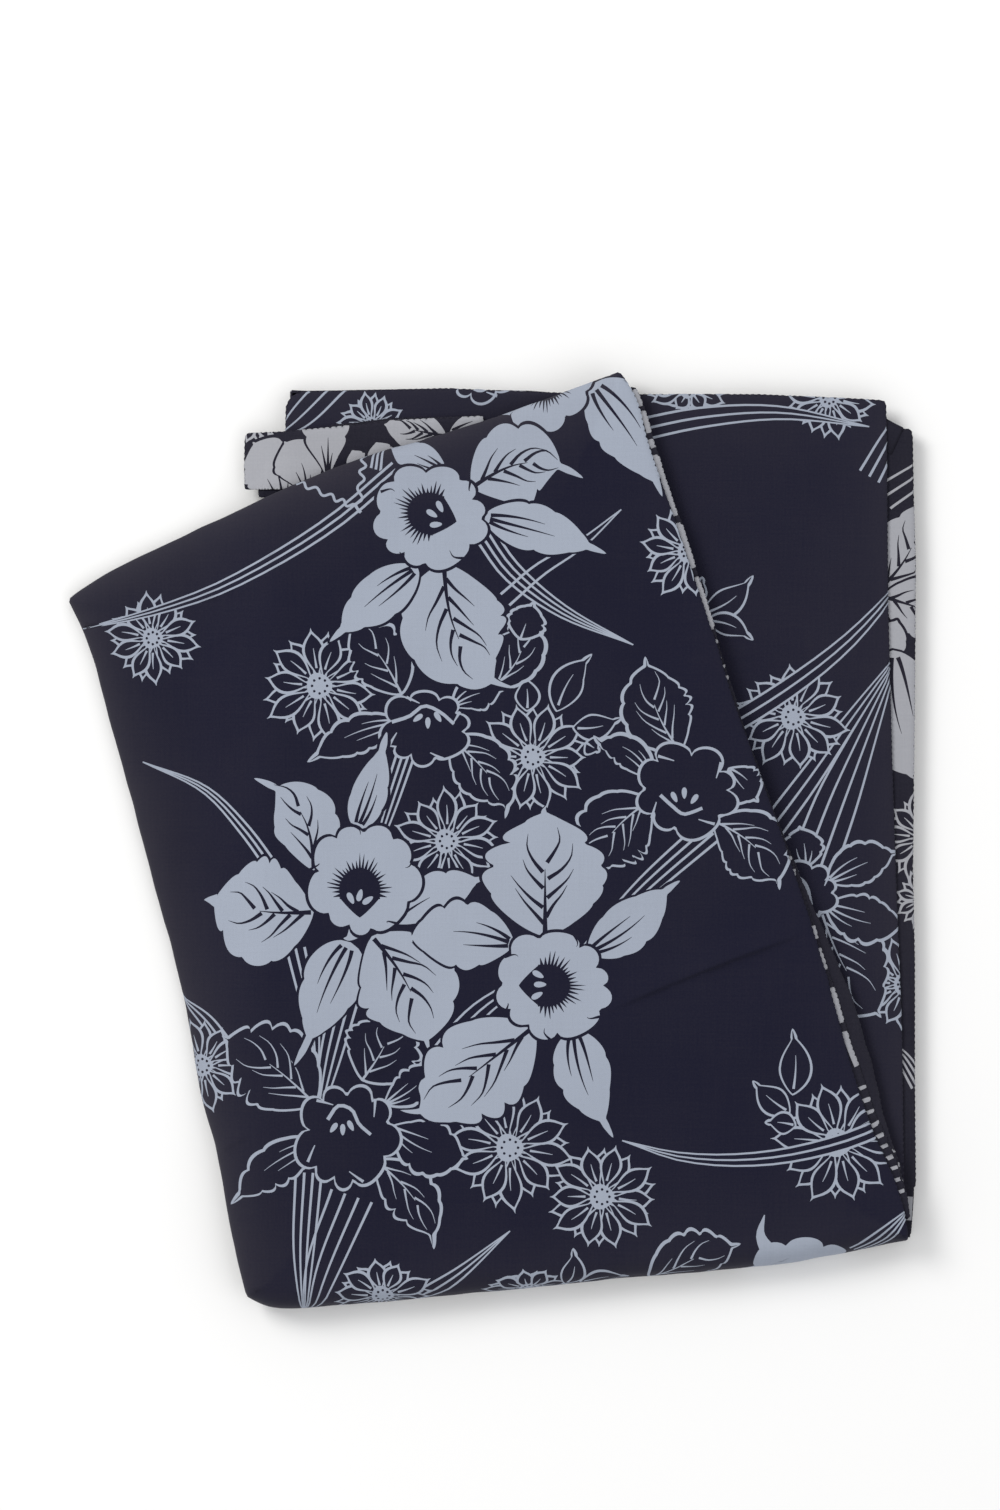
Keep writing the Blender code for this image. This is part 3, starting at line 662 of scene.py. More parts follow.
# A pointed outlined leaf with a midrib
def leaf(row):
    base, tip, width, bend = row
    petal = {"base": base, "tip": tip, "width": width, "bend": bend, "blunt": 0.95, "peak": 0.45,
             "ruffle": 0.07, "lobes": 1.6, "phase": base[0]}
    return [(petalShape(petal), undyed), (petalShape(petal, -2.3), navy)] + [
        (stroke(petalAxis(petal, 21)[0][2:13:2], 2.6, 0.5, 10), undyed)]


# Layout of the front panel's print, in layout units.
# Grass: points from the tip on, spread of the blades, their number. Daisies: centre, radius, a measure of the
# number of petals, turn, squash. Frills: ends, number of waves, their height. Leaves: base, tip, width, bend.
# Petals: base, tip, width, pairs of veins, length of the tail; then, where they differ from an even petal, where
# along it the width peaks, its bend and the hook of its tip. Flowers: the lip's centre, radius, turn, number of
# lobes and squash, its throat or arc, stamens with their lean, notches as angle and depth, and curls or joined
# strokes with their thickness
frontPrint = {
    "over": (
        (((80, 629), (150, 612), (228, 584), (330, 525), (396, 470)), 15, 3),
        (((622, 1140), (680, 1156), (760, 1158), (840, 1142), (900, 1118)), 17, 3),
    ),
    "grass": (
        (((142, 762), (205, 790), (245, 830), (276, 872)), 12, 3),
        (((633, 645), (560, 610), (510, 570), (482, 530)), 22, 4),
        (((621, 510), (580, 545), (540, 570), (505, 600)), 14, 2),
        (((370, 870), (386, 815), (410, 742)), 18, 4),
        (((318, 1090), (312, 1020), (296, 948)), 18, 3),
        (((316, 1130), (330, 1060), (345, 1000)), 26, 4),
        (((304, 1332), (304, 1250), (309, 1172)), 26, 4),
        (((303, 1345), (322, 1270), (352, 1195)), 42, 4),
        (((510, 1230), (460, 1272), (420, 1300), (400, 1318)), 20, 3),
        (((560, 975), (640, 892), (710, 830)), 26, 4),
        (((560, 960), (480, 1010), (425, 1075)), 22, 3),
        (((176, 995), (205, 1020), (228, 1050)), 16, 3),
        (((912, 1205), (885, 1235), (858, 1258)), 22, 4),
        (((392, 420), (380, 445), (376, 470)), 10, 3),
    ),
    "daisies": (
        (152, 638, 46, 16, 0.2, 0.98),
        (320, 686, 58, 16, 0.1, 0.98),
        (447, 841, 53, 17, 0.3, 0.98),
        (533, 757, 56, 17, 0.0, 1.0),
        (510, 1147, 62, 17, 0.2, 1.0),
        (602, 1196, 56, 17, 0.0, 0.95),
        (838, 1142, 64, 17, 0.1, 0.95),
        (383, 1296, 50, 17, 0.1, 0.75),
        (530, 1296, 46, 16, 0.1, 0.6),
        (202, 1066, 50, 16, 0.1, 0.9),
        (688, 552, 48, 16, 0.2, 1.0),
    ),
    "frills": (
        ((296, 484), (361, 513), 5, -5),
        ((361, 513), (368, 450), 4, -6),
    ),
    "leaves": (
        ((527, 712), (524, 674), 26, 0.05),
        ((556, 712), (592, 654), 34, -0.08),
        ((572, 728), (622, 718), 28, 0.08),
        ((585, 742), (600, 752), 22, 0.0),
        ((792, 1095), (792, 1028), 34, 0.05),
        ((790, 1112), (752, 1080), 30, -0.05),
        ((796, 1125), (764, 1122), 24, 0.05),
        ((566, 1292), (573, 1247), 26, 0.10),
        ((580, 1290), (630, 1282), 26, -0.10),
    ),
    "wavy": (
        ((650, 1290), (740, 1243), 62, 3, 0.1, 0.5, -0.08),
        ((520, 640), (534, 602), 40, 0, 0.1),
    ),
    "outlined": (
        {"centre": (425, 728), "radius": 46, "turn": 0.3, "lobes": 8, "squash": 0.88,
         "arc": ((392, 722), (410, 716), (424, 706), (440, 712), (454, 724)),
         "stamens": (((418, 718), 2.5), ((428, 723), 1.57), ((438, 717), 1.0)),
         "petals": (
             ((402, 695), (348, 622), 64, 3, 0.08, 0.5, 0.06),
             ((490, 690), (524, 606), 50, 3, 0.08, 0.55, 0.16),
             ((450, 708), (505, 690), 40, 1, 0.08, 0.6, -0.12),
             ((450, 738), (512, 812), 62, 4, 0.10, 0.5, -0.06, 0.10),
             ((402, 722), (308, 762), 40, 1, 0.14, 0.5, 0.06),
         )},
        {"centre": (686, 790), "radius": 52, "turn": 0.1, "lobes": 8, "squash": 0.98,
         "arc": ((660, 795), (672, 806), (683, 814), (692, 812), (702, 808)),
         "stamens": (((674, 797), 1.1), ((684, 793), 1.57), ((694, 799), 2.2)),
         "petals": (
             ((680, 752), (645, 657), 72, 4, 0.10, 0.5, -0.08),
             ((650, 800), (588, 872), 78, 4, 0.05, 0.5, 0.08),
             ((652, 778), (590, 742), 34, 1, 0.14, 0.5, 0.15, 0.1),
             ((712, 820), (782, 886), 72, 4, 0.10, 0.55, -0.10, 0.05),
             ((728, 768), (758, 802), 44, 1, 0.10, 0.55),
         )},
        {"centre": (347, 1136), "radius": 53, "turn": 0.5, "lobes": 9, "squash": 1.06,
         "arc": ((328, 1119), (339, 1105), (352, 1109), (359, 1123), (371, 1134)),
         "stamens": (((334, 1127), 2.2), ((343, 1129), 1.57), ((351, 1125), 1.1)),
         "petals": (
             ((316, 1104), (222, 1036), 88, 4, 0.06, 0.5, 0.05),
             ((362, 1080), (398, 1012), 80, 3, 0.06, 0.5, 0.05),
             ((322, 1140), (231, 1204), 44, 1, 0.14, 0.5, 0.06),
             ((376, 1160), (438, 1245), 54, 3, 0.14, 0.5, -0.08, 0.05),
             ((384, 1104), (436, 1062), 38, 1, 0.06, 0.55, 0.06),
             ((390, 1126), (468, 1158), 58, 1, 0.06, 0.55, 0.06),
         )},
    ),
    "solid": (
        {"centre": (803, 1288), "radius": 58, "turn": 0.35, "lobes": 8, "squash": 0.95, "throat": (800, 1330),
         "facing": 1.5,
         "joined": ((((782, 1266), (768, 1250), (760, 1234), (764, 1214)), 24),)},
        {"centre": (541, 384), "radius": 50, "turn": 0.9, "lobes": 8, "squash": 1.0, "throat": (545, 380),
         "facing": 1.5, "notches": ((2.2, 0.8), (0.8, 0.82)),
         "petals": (
             ((593, 384), (662, 497), 70, 1, 0.16, 0.40, -0.06),
         )},
        {"centre": (430, 517), "radius": 56, "turn": 0.2, "lobes": 10, "squash": 0.96, "throat": (430, 514),
         "facing": -2.85, "stamens": (((440, 507), 1.1), ((432, 514), 0.56), ((436, 525), -0.1)),
         "notches": ((-2.66, 0.78), (0.9, 0.72), (-0.75, 0.86), (2.1, 0.86)),
         "petals": (
             ((446, 472), (390, 446), 34, 1, 0.04),
             ((472, 488), (582, 472), 84, 4, 0.26, 0.52, -0.15, 0.06),
             ((484, 517), (606, 554), 48, 1, 0.18, 0.45, -0.03),
             ((444, 564), (502, 694), 106, 4, 0.14, 0.48, 0.12, -0.10),
             ((418, 568), (330, 642), 48, 1, 0.18, 0.45, 0.02),
         )},
        {"centre": (364, 879), "radius": 55, "turn": 0.5, "lobes": 9, "squash": 1.04, "throat": (360, 890),
         "facing": -1.57, "stamens": (((351, 898), 1.1), ((360, 895), -1.3), ((368, 900), -0.6)),
         "notches": ((-1.81, 0.78), (-0.42, 0.78), (-2.97, 0.86), (0.9, 0.88)),
         "curls": ((((357, 930), (348, 938), (344, 938)), 17), (((216, 901), (209, 900), (204, 900)), 14)),
         "petals": (
             ((314, 870), (260, 775), 66, 3, 0.24, 0.52, 0.16, -0.06),
             ((357, 828), (387, 732), 36, 1, 0.22, 0.38, 0.02),
             ((314, 912), (212, 900), 108, 4, 0.03, 0.52, -0.05),
             ((351, 942), (302, 1068), 60, 1, 0.30, 0.38, 0.03, 0.06),
             ((372, 936), (429, 1050), 102, 4, 0.10, 0.50, -0.08),
             ((392, 922), (487, 877), 44, 0, 0.12, 0.50, -0.06),
         )},
        {"centre": (553, 985), "radius": 57, "turn": 0.1, "lobes": 10, "squash": 0.98, "throat": (547, 985),
         "facing": 0.0, "stamens": (((538, 974), 0.5), ((540, 984), 0.0), ((537, 995), -0.5)),
         "notches": ((-2.6, 0.8), (-1.2, 0.8), (0.6, 0.82), (1.6, 0.78), (2.6, 0.86)),
         "curls": ((((548, 822), (543, 812), (546, 806)), 9), (((412, 937), (406, 938), (402, 940)), 10)),
         "petals": (
             ((545, 936), (545, 808), 122, 4, 0.05),
             ((588, 952), (676, 876), 50, 1, 0.20, 0.46, 0.06, 0.05),
             ((574, 1030), (613, 1137), 56, 1, 0.22, 0.40, 0.06),
             ((534, 1026), (410, 1122), 98, 4, 0.12, 0.50, 0.0, 0.10),
             ((514, 944), (408, 938), 68, 1, 0.05, 0.50, 0.06),
         )},
    ),
}

rearPrint = {
    "over": (
        (((930, 548), (884, 604), (850, 640), (806, 676), (742, 718), (700, 740)), 21, 3),
        (((870, 426), (780, 412), (700, 417), (636, 430)), 22, 3),
    ),
    "grass": (
        (((276, 436), (296, 420), (340, 376)), 26, 3),
        (((906, 645), (850, 722), (805, 785), (760, 845)), 24, 3),
        (((900, 655), (862, 742), (838, 800), (815, 862)), 46, 4),
        (((935, 375), (895, 432), (870, 476)), 22, 3),
        (((840, 1030), (870, 1000), (905, 960)), 20, 4),
        (((830, 900), (828, 960), (832, 1000)), 14, 3),
    ),
    "daisies": (
        (372, 424, 34, 16, 0.1, 0.95),
        (830, 397, 45, 17, 0.1, 0.9),
        (794, 717, 56, 17, 0.2, 0.95),
        (905, 985, 46, 16, 0.1, 1.0),
        (690, 388, 44, 16, 0.0, 0.5),
    ),
    "leaves": (
        ((702, 614), (754, 575), 30, 0.10),
        ((706, 620), (754, 640), 24, -0.10),
        ((698, 604), (703, 576), 16, 0.0),
    ),
    "outlined": (
        {"centre": (805, 892), "radius": 34, "turn": 0.2, "lobes": 8, "squash": 1.0,
         "arc": ((790, 872), (806, 884), (812, 905)),
         "stamens": (((794, 884), 0.3), ((794, 894), 0.0), ((794, 904), -0.3)),
         "petals": (
             ((828, 882), (900, 852), 44, 1, 0.10, 0.5, -0.06),
             ((822, 912), (882, 1018), 92, 4, 0.06, 0.5, 0.06),
             ((806, 868), (800, 826), 44, 1, 0.06),
             ((826, 905), (908, 925), 50, 1, 0.08, 0.5, 0.06),
         )},
        {"centre": (480, 372), "radius": 36, "turn": 0.2, "lobes": 8, "squash": 0.9,
         "arc": ((460, 376), (480, 390), (500, 376))},
    ),
}

sleevePrint = {
    "grass": (
        (((965, 440), (925, 470), (884, 497)), 26, 3),
        (((890, 1040), (905, 1060), (920, 1085)), 16, 4),
    ),
    "daisies": ((925, 838, 44, 16, 0.1, 1.1), (925, 900, 30, 13, 0.3, 1.0)),
    "petals": (
        ((880, 590), (925, 500), 74, 3, 0.04, 0.5, 0.10),
        ((884, 596), (960, 620), 60, 3, 0.04),
        ((884, 660), (898, 620), 34, 0, 0.04),
        ((894, 650), (930, 790), 86, 1, 0.10, 0.45, 0.06),
    ),
}

collarPrint = {
    "daisies": ((254, 416, 28, 13, 0.3, 1.0),),
    "petals": (
        ((282, 512), (252, 441), 66, 1, 0.04, 0.62, 0.10),
        ((306, 500), (284, 441), 50, 1, 0.04, 0.66, 0.10),
        ((328, 482), (324, 404), 46, 1, 0.04, 0.70),
        ((362, 470), (352, 450), 22, 0, 0.04),
        ((384, 462), (376, 442), 26, 0, 0.04),
        ((446, 436), (384, 424), 40, 4, 0.04),
        ((450, 432), (500, 416), 26, 1, 0.04),
    ),
}

# How each kind of motif is drawn, in the order in which later ones cover earlier ones
drawn = {"grass": grass, "daisies": daisy, "over": overGrass, "leaves": leaf, "outlined": outlineOrchid,
         "frills": frill, "wavy": wavyPetal, "petals": solidPetal, "solid": solidOrchid}


# All the shapes of a design with their inks, each kind drawn row by row
def layOut(design):
    return [shape for kind, draw in drawn.items() for row in design.get(kind, ()) for shape in draw(row)]


# The weave: width of a thread in metres, and the scales of the noise for slubs, slow fading and specks
weave = {"thread": 0.00055, "slubs": 300, "slow": 14, "specks": 900}


# Weave shared by all the cotton: two sine waves across each other as threads, noise stretched along them as
# slubs, and slow noise, specks, wear and painted edge sheen that mix the dye with its faded colour
def weaveGroup():
    group = bpy.data.node_groups.new("plainWeave", "ShaderNodeTree")
    for label, way, kind in (("Dye", "INPUT", "Color"), ("Faded", "INPUT", "Color"), ("Fading", "INPUT", "Float"),
                             ("Colour", "OUTPUT", "Color"), ("Height", "OUTPUT", "Float"),
                             ("Roughness", "OUTPUT", "Float")):
        group.interface.new_socket(label, in_out=way, socket_type="NodeSocket" + kind)
    nodes, links = group.nodes, group.links
    given, out = nodes.new("NodeGroupInput"), nodes.new("NodeGroupOutput")

    def math(kind, *values):  # a node that works one operation out of numbers and other nodes' outputs
        node = nodes.new("ShaderNodeMath")
        node.operation = kind
        for socket, value in zip(node.inputs, values):
            if isinstance(value, (int, float)):
                socket.default_value = value
            else:
                links.new(value, socket)
        return node.outputs[0]

    def noise(vector, scale, detail, stretch=None):  # noise of a scale and detail, stretched by three shares
        if stretch:
            mapping = nodes.new("ShaderNodeMapping")
            mapping.inputs["Scale"].default_value = stretch
            links.new(vector, mapping.inputs["Vector"])
            vector = mapping.outputs["Vector"]
        node = nodes.new("ShaderNodeTexNoise")
        node.inputs["Scale"].default_value = scale
        node.inputs["Detail"].default_value = detail
        links.new(vector, node.inputs["Vector"])
        return node.outputs["Fac"]

    uv = nodes.new("ShaderNodeUVMap")
    uv.uv_map = "cloth"
    parts = nodes.new("ShaderNodeSeparateXYZ")
    links.new(uv.outputs["UV"], parts.inputs["Vector"])
    threads = [math("SINE", math("MULTIPLY", math("DIVIDE", parts.outputs[axis], weave["thread"]), np.pi))
               for axis in (0, 1)]
    over = math("MULTIPLY", threads[0], threads[1])
    crowns = math("MAXIMUM", math("ABSOLUTE", threads[0]), math("ABSOLUTE", threads[1]))
    woven = math("ADD", math("MULTIPLY", over, 0.35), math("MULTIPLY", crowns, 0.5))
    warp = noise(uv.outputs["UV"], weave["slubs"], 2, (0.12, 4.0, 1.0))
    weft = noise(uv.outputs["UV"], weave["slubs"], 2, (4.0, 0.12, 1.0))
    slub = math("ADD", math("MULTIPLY", warp, 0.5), math("MULTIPLY", weft, 0.5))
    slow = noise(uv.outputs["UV"], weave["slow"], 4)
    speck = noise(uv.outputs["UV"], weave["specks"], 1)
    wearAndSheen = nodes.new("ShaderNodeAttribute")
    wearAndSheen.attribute_name = "wearAndSheen"
    amount = math("ADD", math("MULTIPLY", math("SUBTRACT", slow, 0.42), 1.0), 0.08)
    amount = math("ADD", amount, math("MULTIPLY", math("SUBTRACT", slub, 0.5), 1.5))
    amount = math("ADD", amount, math("MULTIPLY", math("SUBTRACT", speck, 0.5), 0.8))
    faded = math("MULTIPLY", amount, given.outputs["Fading"])
    # the sides' paling, part real wear and part painted sheen of the rolled edges, mixes the dye towards its faded
    # colour
    amount = math("ADD", faded, math("MULTIPLY", wearAndSheen.outputs["Fac"], 0.6))
    limit = nodes.new("ShaderNodeClamp")
    links.new(amount, limit.inputs["Value"])
    mix = nodes.new("ShaderNodeMix")
    mix.data_type = "RGBA"
    links.new(limit.outputs["Result"], mix.inputs["Factor"])
    links.new(given.outputs["Dye"], mix.inputs["A"])
    links.new(given.outputs["Faded"], mix.inputs["B"])
    links.new(mix.outputs["Result"], out.inputs["Colour"])
    links.new(math("ADD", woven, math("MULTIPLY", slub, 0.6)), out.inputs["Height"])
    links.new(math("ADD", 0.78, math("MULTIPLY", slub, 0.2)), out.inputs["Roughness"])
    return group


plainWeave = weaveGroup()

# Each finish of the cotton: dye, what it fades towards and how much, sheen and bump. The painted edge sheen pales
# the dye towards the same faded colour
finishes = {
    "navyCotton": {"dye": (0.0066, 0.0066, 0.0196), "faded": (0.031, 0.0285, 0.038),
                   "fading": 0.30, "sheen": 0.06, "bump": 0.30},
    "undyedCotton": {"dye": (0.305, 0.340, 0.412), "faded": (0.26, 0.285, 0.345),
                     "fading": 0.6, "sheen": 0.04, "bump": 0.25},
    "innerNavy": {"dye": (0.0075, 0.0070, 0.0150), "faded": (0.028, 0.027, 0.038),
                  "fading": 0.45, "sheen": 0.05, "bump": 0.35},
    "warmUndyed": {"dye": (0.325, 0.330, 0.360), "faded": (0.27, 0.275, 0.305),
                   "fading": 0.6, "sheen": 0.04, "bump": 0.25},
}


# A cotton: the weave in its finish's colours, a bump of 0.12 mm from the threads, and a faint fuzz as sheen
def cottonMaterial(name):
    finish = finishes[name]
    material = bpy.data.materials.new(name)
    material.use_nodes = True
    nodes, links = material.node_tree.nodes, material.node_tree.links
    shader = nodes["Principled BSDF"]
    woven, bump = nodes.new("ShaderNodeGroup"), nodes.new("ShaderNodeBump")
    woven.node_tree = plainWeave
    for node, label, value in (
            (woven, "Dye", (*finish["dye"], 1)), (woven, "Faded", (*finish["faded"], 1)),
            (woven, "Fading", finish["fading"]), (bump, "Strength", finish["bump"]), (bump, "Distance", 0.00012),
            (shader, "Specular IOR Level", 0.15), (shader, "Sheen Weight", finish["sheen"]),
            (shader, "Sheen Roughness", 0.45), (shader, "Sheen Tint", (0.75, 0.75, 0.80, 1))):
        node.inputs[label].default_value = value
    for output, socket in (("Colour", shader.inputs["Base Color"]), ("Roughness", shader.inputs["Roughness"]),
                           ("Height", bump.inputs["Height"])):
        links.new(woven.outputs[output], socket)
    links.new(bump.outputs["Normal"], shader.inputs["Normal"])
    return material


cottons = {name: cottonMaterial(name) for name in finishes}
printed = (cottons["navyCotton"], cottons["undyedCotton"])
innerPrinted = (cottons["innerNavy"], cottons["warmUndyed"])
print("materials made")

# Front panel: turned down at its left side, right round the lower fold, and soft along its upper edge. Its edge's
# unevenness in mm, seed and height of its waves, and how far inside its sides they are at their full height
front = {"uneven": 0.45, "seed": 4, "wave": 0.00034, "calm": 0.03}
frontEdge = closedEdge(frontSides, ("frontLower", "frontRight", "frontUpper", "frontLeft"), uneven=front["uneven"])


# Place of the front panel: the height it rests on, the stack's thickness less the drop at its sides, waves that
# fade towards them, and the creases
def frontPlace(flat):
    plan, down, inward = turnedDown(frontEdge, flat)
    slow = waves(plan, front["seed"], front["wave"]) * smooth(inward / front["calm"])
    return np.column_stack([plan, restHeight(plan) + robe["frontThick"] - down + slow + creaseHeight(plan)])


frontPanel = printedCloth("front_panel", frontEdge, frontPlace, layOut(frontPrint), printed,
                          extra=creasePoints())


# Level cloth at one height
def flatLevel(height):
    return lambda plan: np.full(len(plan), height)


# Cloth at a height above what the front stack rests on
def restLevel(height):
    return lambda plan: restHeight(plan) + height


# Flat pieces with softly dropped edges: outline, level, seed and height of the waves, print, cottons and fading
flatPieces = {
    "rear_panel": {"sides": rearPanelSides, "level": flatLevel(robe["rearTop"]), "seed": 7, "uneven": 0.00014,
                   "print": rearPrint, "cottons": printed, "pale": 0.16},
    "sleeve_layer": {"sides": sleeveSides, "level": flatLevel(0.0099), "seed": 8, "uneven": 0.00005,
                     "print": sleevePrint, "cottons": innerPrinted, "pale": 0.0},
    "over_collar_strip": {"sides": overCollarSides, "level": restLevel(0.0013), "seed": 9, "uneven": 0.00004,
                          "print": {}, "cottons": innerPrinted, "pale": 0.0},
    "collar_strip": {"sides": collarSides, "level": restLevel(0.0029), "seed": 10, "uneven": 0.00006,
                     "print": collarPrint, "cottons": innerPrinted, "pale": 0.0},
}


# A flat piece: its level less the drop at its sides, with waves that fade within 20 mm of them
def flatPiece(name):
    piece = flatPieces[name]
    kinds = ("flatEdge", *["softEdge"] * (len(piece["sides"]) - 1))
    edge = closedEdge(piece["sides"], kinds, soften=1, curved=False)

    def place(flat):
        plan, down, inward = turnedDown(edge, flat)
        slow = waves(plan, piece["seed"], piece["uneven"]) * smooth(inward / 0.02)
        return np.column_stack([plan, piece["level"](plan) - down + slow])

    return printedCloth(name, edge, place, layOut(piece["print"]), piece["cottons"], pale=piece["pale"])


rearPanel, sleeveLayer, overCollarStrip, collarStrip = (flatPiece(name) for name in flatPieces)

underEdge = closedEdge(rearSides, ("flatEdge",) * 4)


# Place of the panel on the surface: its plan turned in at the sides, all of it one thickness above the surface
def underPlace(flat):
    plan = turnedDown(underEdge, flat)[0]
    return np.column_stack([plan, np.full(len(plan), robe["wall"])])


underPanel = printedCloth("under_panel", underEdge, underPlace, [], printed, spacing=8.0)


# One layer's edge in metres: how deep it reaches in, its thickness, how far it swings in and out; and how many
# places along it carry a section
layer = {"deep": 0.014, "wall": 0.0008, "swing": 0.0006, "count": 240}


# Layers of cloth seen at the edges of a stack: a flattened rounded section carried along the edge, each layer at
# its own level, with its own reach in and out as a sum of four sines, and undyed patches where two sines peak
def layerEdges(name, rows, levels, seed, inset=0.0008, shares=(0, 1)):
    deep, wall, swing, count = layer.values()
    path = curveThrough(rows, np.linspace(*shares, count)) * mm
    outward = -leftOf(path)
    arc = np.concatenate([[0.0], np.cumsum(np.linalg.norm(np.diff(path, axis=0), axis=1))])
    bend = np.linspace(-np.pi / 2, np.pi / 2, 6)
    across = np.concatenate([[-deep], wall / 2 * np.cos(bend) - wall / 2, [-deep]])
    upward = np.concatenate([[-wall / 2], wall / 2 * np.sin(bend), [wall / 2]])
    dice = np.random.default_rng(seed)
    points, faces, inks, uvs = [], [], [], []
    section = len(across)
    for number, level in enumerate(levels):
        phase, length = dice.uniform(0, 2 * np.pi, 4), dice.uniform(0.03, 0.18, 4)
        reach = swing * np.sin(2 * np.pi * arc[:, None] / length + phase).sum(axis=1) / 2
        reach = reach - inset - dice.uniform(0, swing)
        plan = path[:, None] + outward[:, None] * (across[None, :, None] + reach[:, None, None])
        z = level(plan.reshape(-1, 2)).reshape(count, section) + upward[None]
        points.append(np.dstack([plan, z]).reshape(-1, 3))
        first = number * count * section
        i, j = np.meshgrid(np.arange(count - 1), np.arange(section), indexing="ij")
        a, b = first + i * section + j, first + i * section + (j + 1) % section
        faces += np.stack([a, a + section, b + section, b], axis=-1).reshape(-1, 4).tolist()
        spots = np.sin(2 * np.pi * arc / 0.031 + phase[0]) + np.sin(2 * np.pi * arc / 0.083 + phase[1])
        inks += [np.repeat((spots[:-1] > 1.15).astype(int), section), [0, 0]]
        ends = first + np.arange(section)
        faces += [ends.tolist(), (ends + (count - 1) * section)[::-1].tolist()]
        uvs.append(np.stack([np.repeat(arc, section), np.tile(across, count) + number * 0.01], axis=1))
    points, wide = np.vstack(points), (deep + wall) * len(levels)
    made = meshObject(name, points, faces, innerPrinted, np.concatenate(inks), np.vstack(uvs),
                      np.full(len(points), 0.25))
    cuts[name] = [wide, float(arc[-1]), wide * float(arc[-1])]
    print(name, len(levels), "layers")
    return made


# Cloth inside the front stack, at a share of its thickness between its lowest and its highest layer
def frontLevel(share):
    return lambda plan: restHeight(plan) + 0.0008 + (robe["frontThick"] - 0.0022) * share


frontLevels = [frontLevel(share) for share in np.linspace(0, 1, 9)]
rearLevels = [flatLevel(height) for height in np.linspace(0.0011, 0.0099, 8)]
frontRightLayers = layerEdges("front_right_layers", frontSides["right"], frontLevels[:-3], 21, shares=(0.03, 1))
frontUpperLayers = layerEdges("front_upper_layers", frontSides["upper"], frontLevels[:5], 22, inset=0.0012)
rearRightLayers = layerEdges("rear_right_layers", rearSides["right"], rearLevels[:-1], 23)
rearUpperLayers = layerEdges("rear_upper_layers", rearSides["upper"], rearLevels, 24)
rearLeftLayers = layerEdges("rear_left_layers", rearSides["left"], rearLevels, 25)

# Two plies of the overlaps beside the front stack's right edge: how far out they come in mm by share of the edge
# from below, how far under the front panel they lie, and the undyed dashes of their print: start and stop as
# shares of the edge, and a thickness where it isn't the ply's own
plies = {
    "left": {
        "level": 0.0014, "thick": 9,
        "reach": ((0, 1.5), (0.05, 3.6), (0.12, 5.2), (0.20, 3.6), (0.34, 1.4), (0.55, 0.5), (0.66, 1.2),
                  (0.74, 2.4), (0.84, 3.0), (0.94, 3.0), (1, 1.2)),
        "dashes": ((0.975, 0.955), (0.95, 0.925), (0.918, 0.908), (0.90, 0.83), (0.822, 0.77), (0.76, 0.70),
                   (0.69, 0.684), (0.672, 0.667), (0.66, 0.656), (0.648, 0.643), (0.44, 0.435), (0.425, 0.418),
                   (0.36, 0.345), (0.335, 0.31), (0.29, 0.25), (0.24, 0.20), (0.178, 0.174, 13),
                   (0.164, 0.159, 14), (0.150, 0.146, 15), (0.136, 0.131, 17), (0.122, 0.117, 17),
                   (0.109, 0.105, 16), (0.096, 0.091, 15), (0.083, 0.079, 14), (0.070, 0.066, 13),
                   (0.057, 0.053, 12))},
    "right": {
        "level": 0.0027, "thick": 6,
        "reach": ((0, 1.2), (0.06, 3.5), (0.12, 7.5), (0.20, 10.5), (0.28, 9.5), (0.35, 5.0), (0.45, 1.0),
                  (0.6, -1.5), (1, -3)),
        "dashes": ((0.10, 0.096), (0.085, 0.08), (0.07, 0.064))},
}


# A ply: a strip along the front stack's right edge, from 25 mm inside it to its own reach with two small sines on
# it. It lies under the front panel by its level and sags by 0.22 of what comes out from under it
def overlapPly(name, ply, seed):
    shares = np.linspace(0.02, 0.985, 240)
    edge = curveThrough(frontSides["right"], shares)
    outward = -leftOf(edge)
    reach = np.interp(shares, *np.array(ply["reach"]).T)
    reach = reach + 0.25 * np.sin(shares * 71 + seed) + 0.15 * np.sin(shares * 163)
    outer, inner = edge + outward * reach[:, None], edge - outward * 25
    outline = closedEdge({"shown": outer, "hidden": inner[::-1]}, ("softEdge", "flatEdge"), curved=False)
    dashes = []
    for start, stop, *wide in ply["dashes"]:
        at = np.linspace(start, stop, 4)
        middle = np.stack([np.interp(at, shares, (outer - outward * 1.0)[:, k]) for k in (0, 1)], axis=1)
        thick = wide[0] if wide else ply["thick"]
        middle = middle * (2, -2) + (middleX, middleY)  # back to layout units
        dashes.append((stroke(middle, thick, thick * 0.8, 4), undyed))

    def place(flat):
        plan, down = turnedDown(outline, flat)[:2]
        sag = np.clip(-nearestOn(frontEdge, plan)[0], 0, None) * 0.22
        return np.column_stack([plan, restHeight(plan) + robe["frontThick"] - 0.0007 - ply["level"] - down - sag])

    return printedCloth(name, outline, place, dashes, innerPrinted)


leftPly = overlapPly("left_overlap_ply", plies["left"], 1)
rightPly = overlapPly("right_overlap_ply", plies["right"], 2)

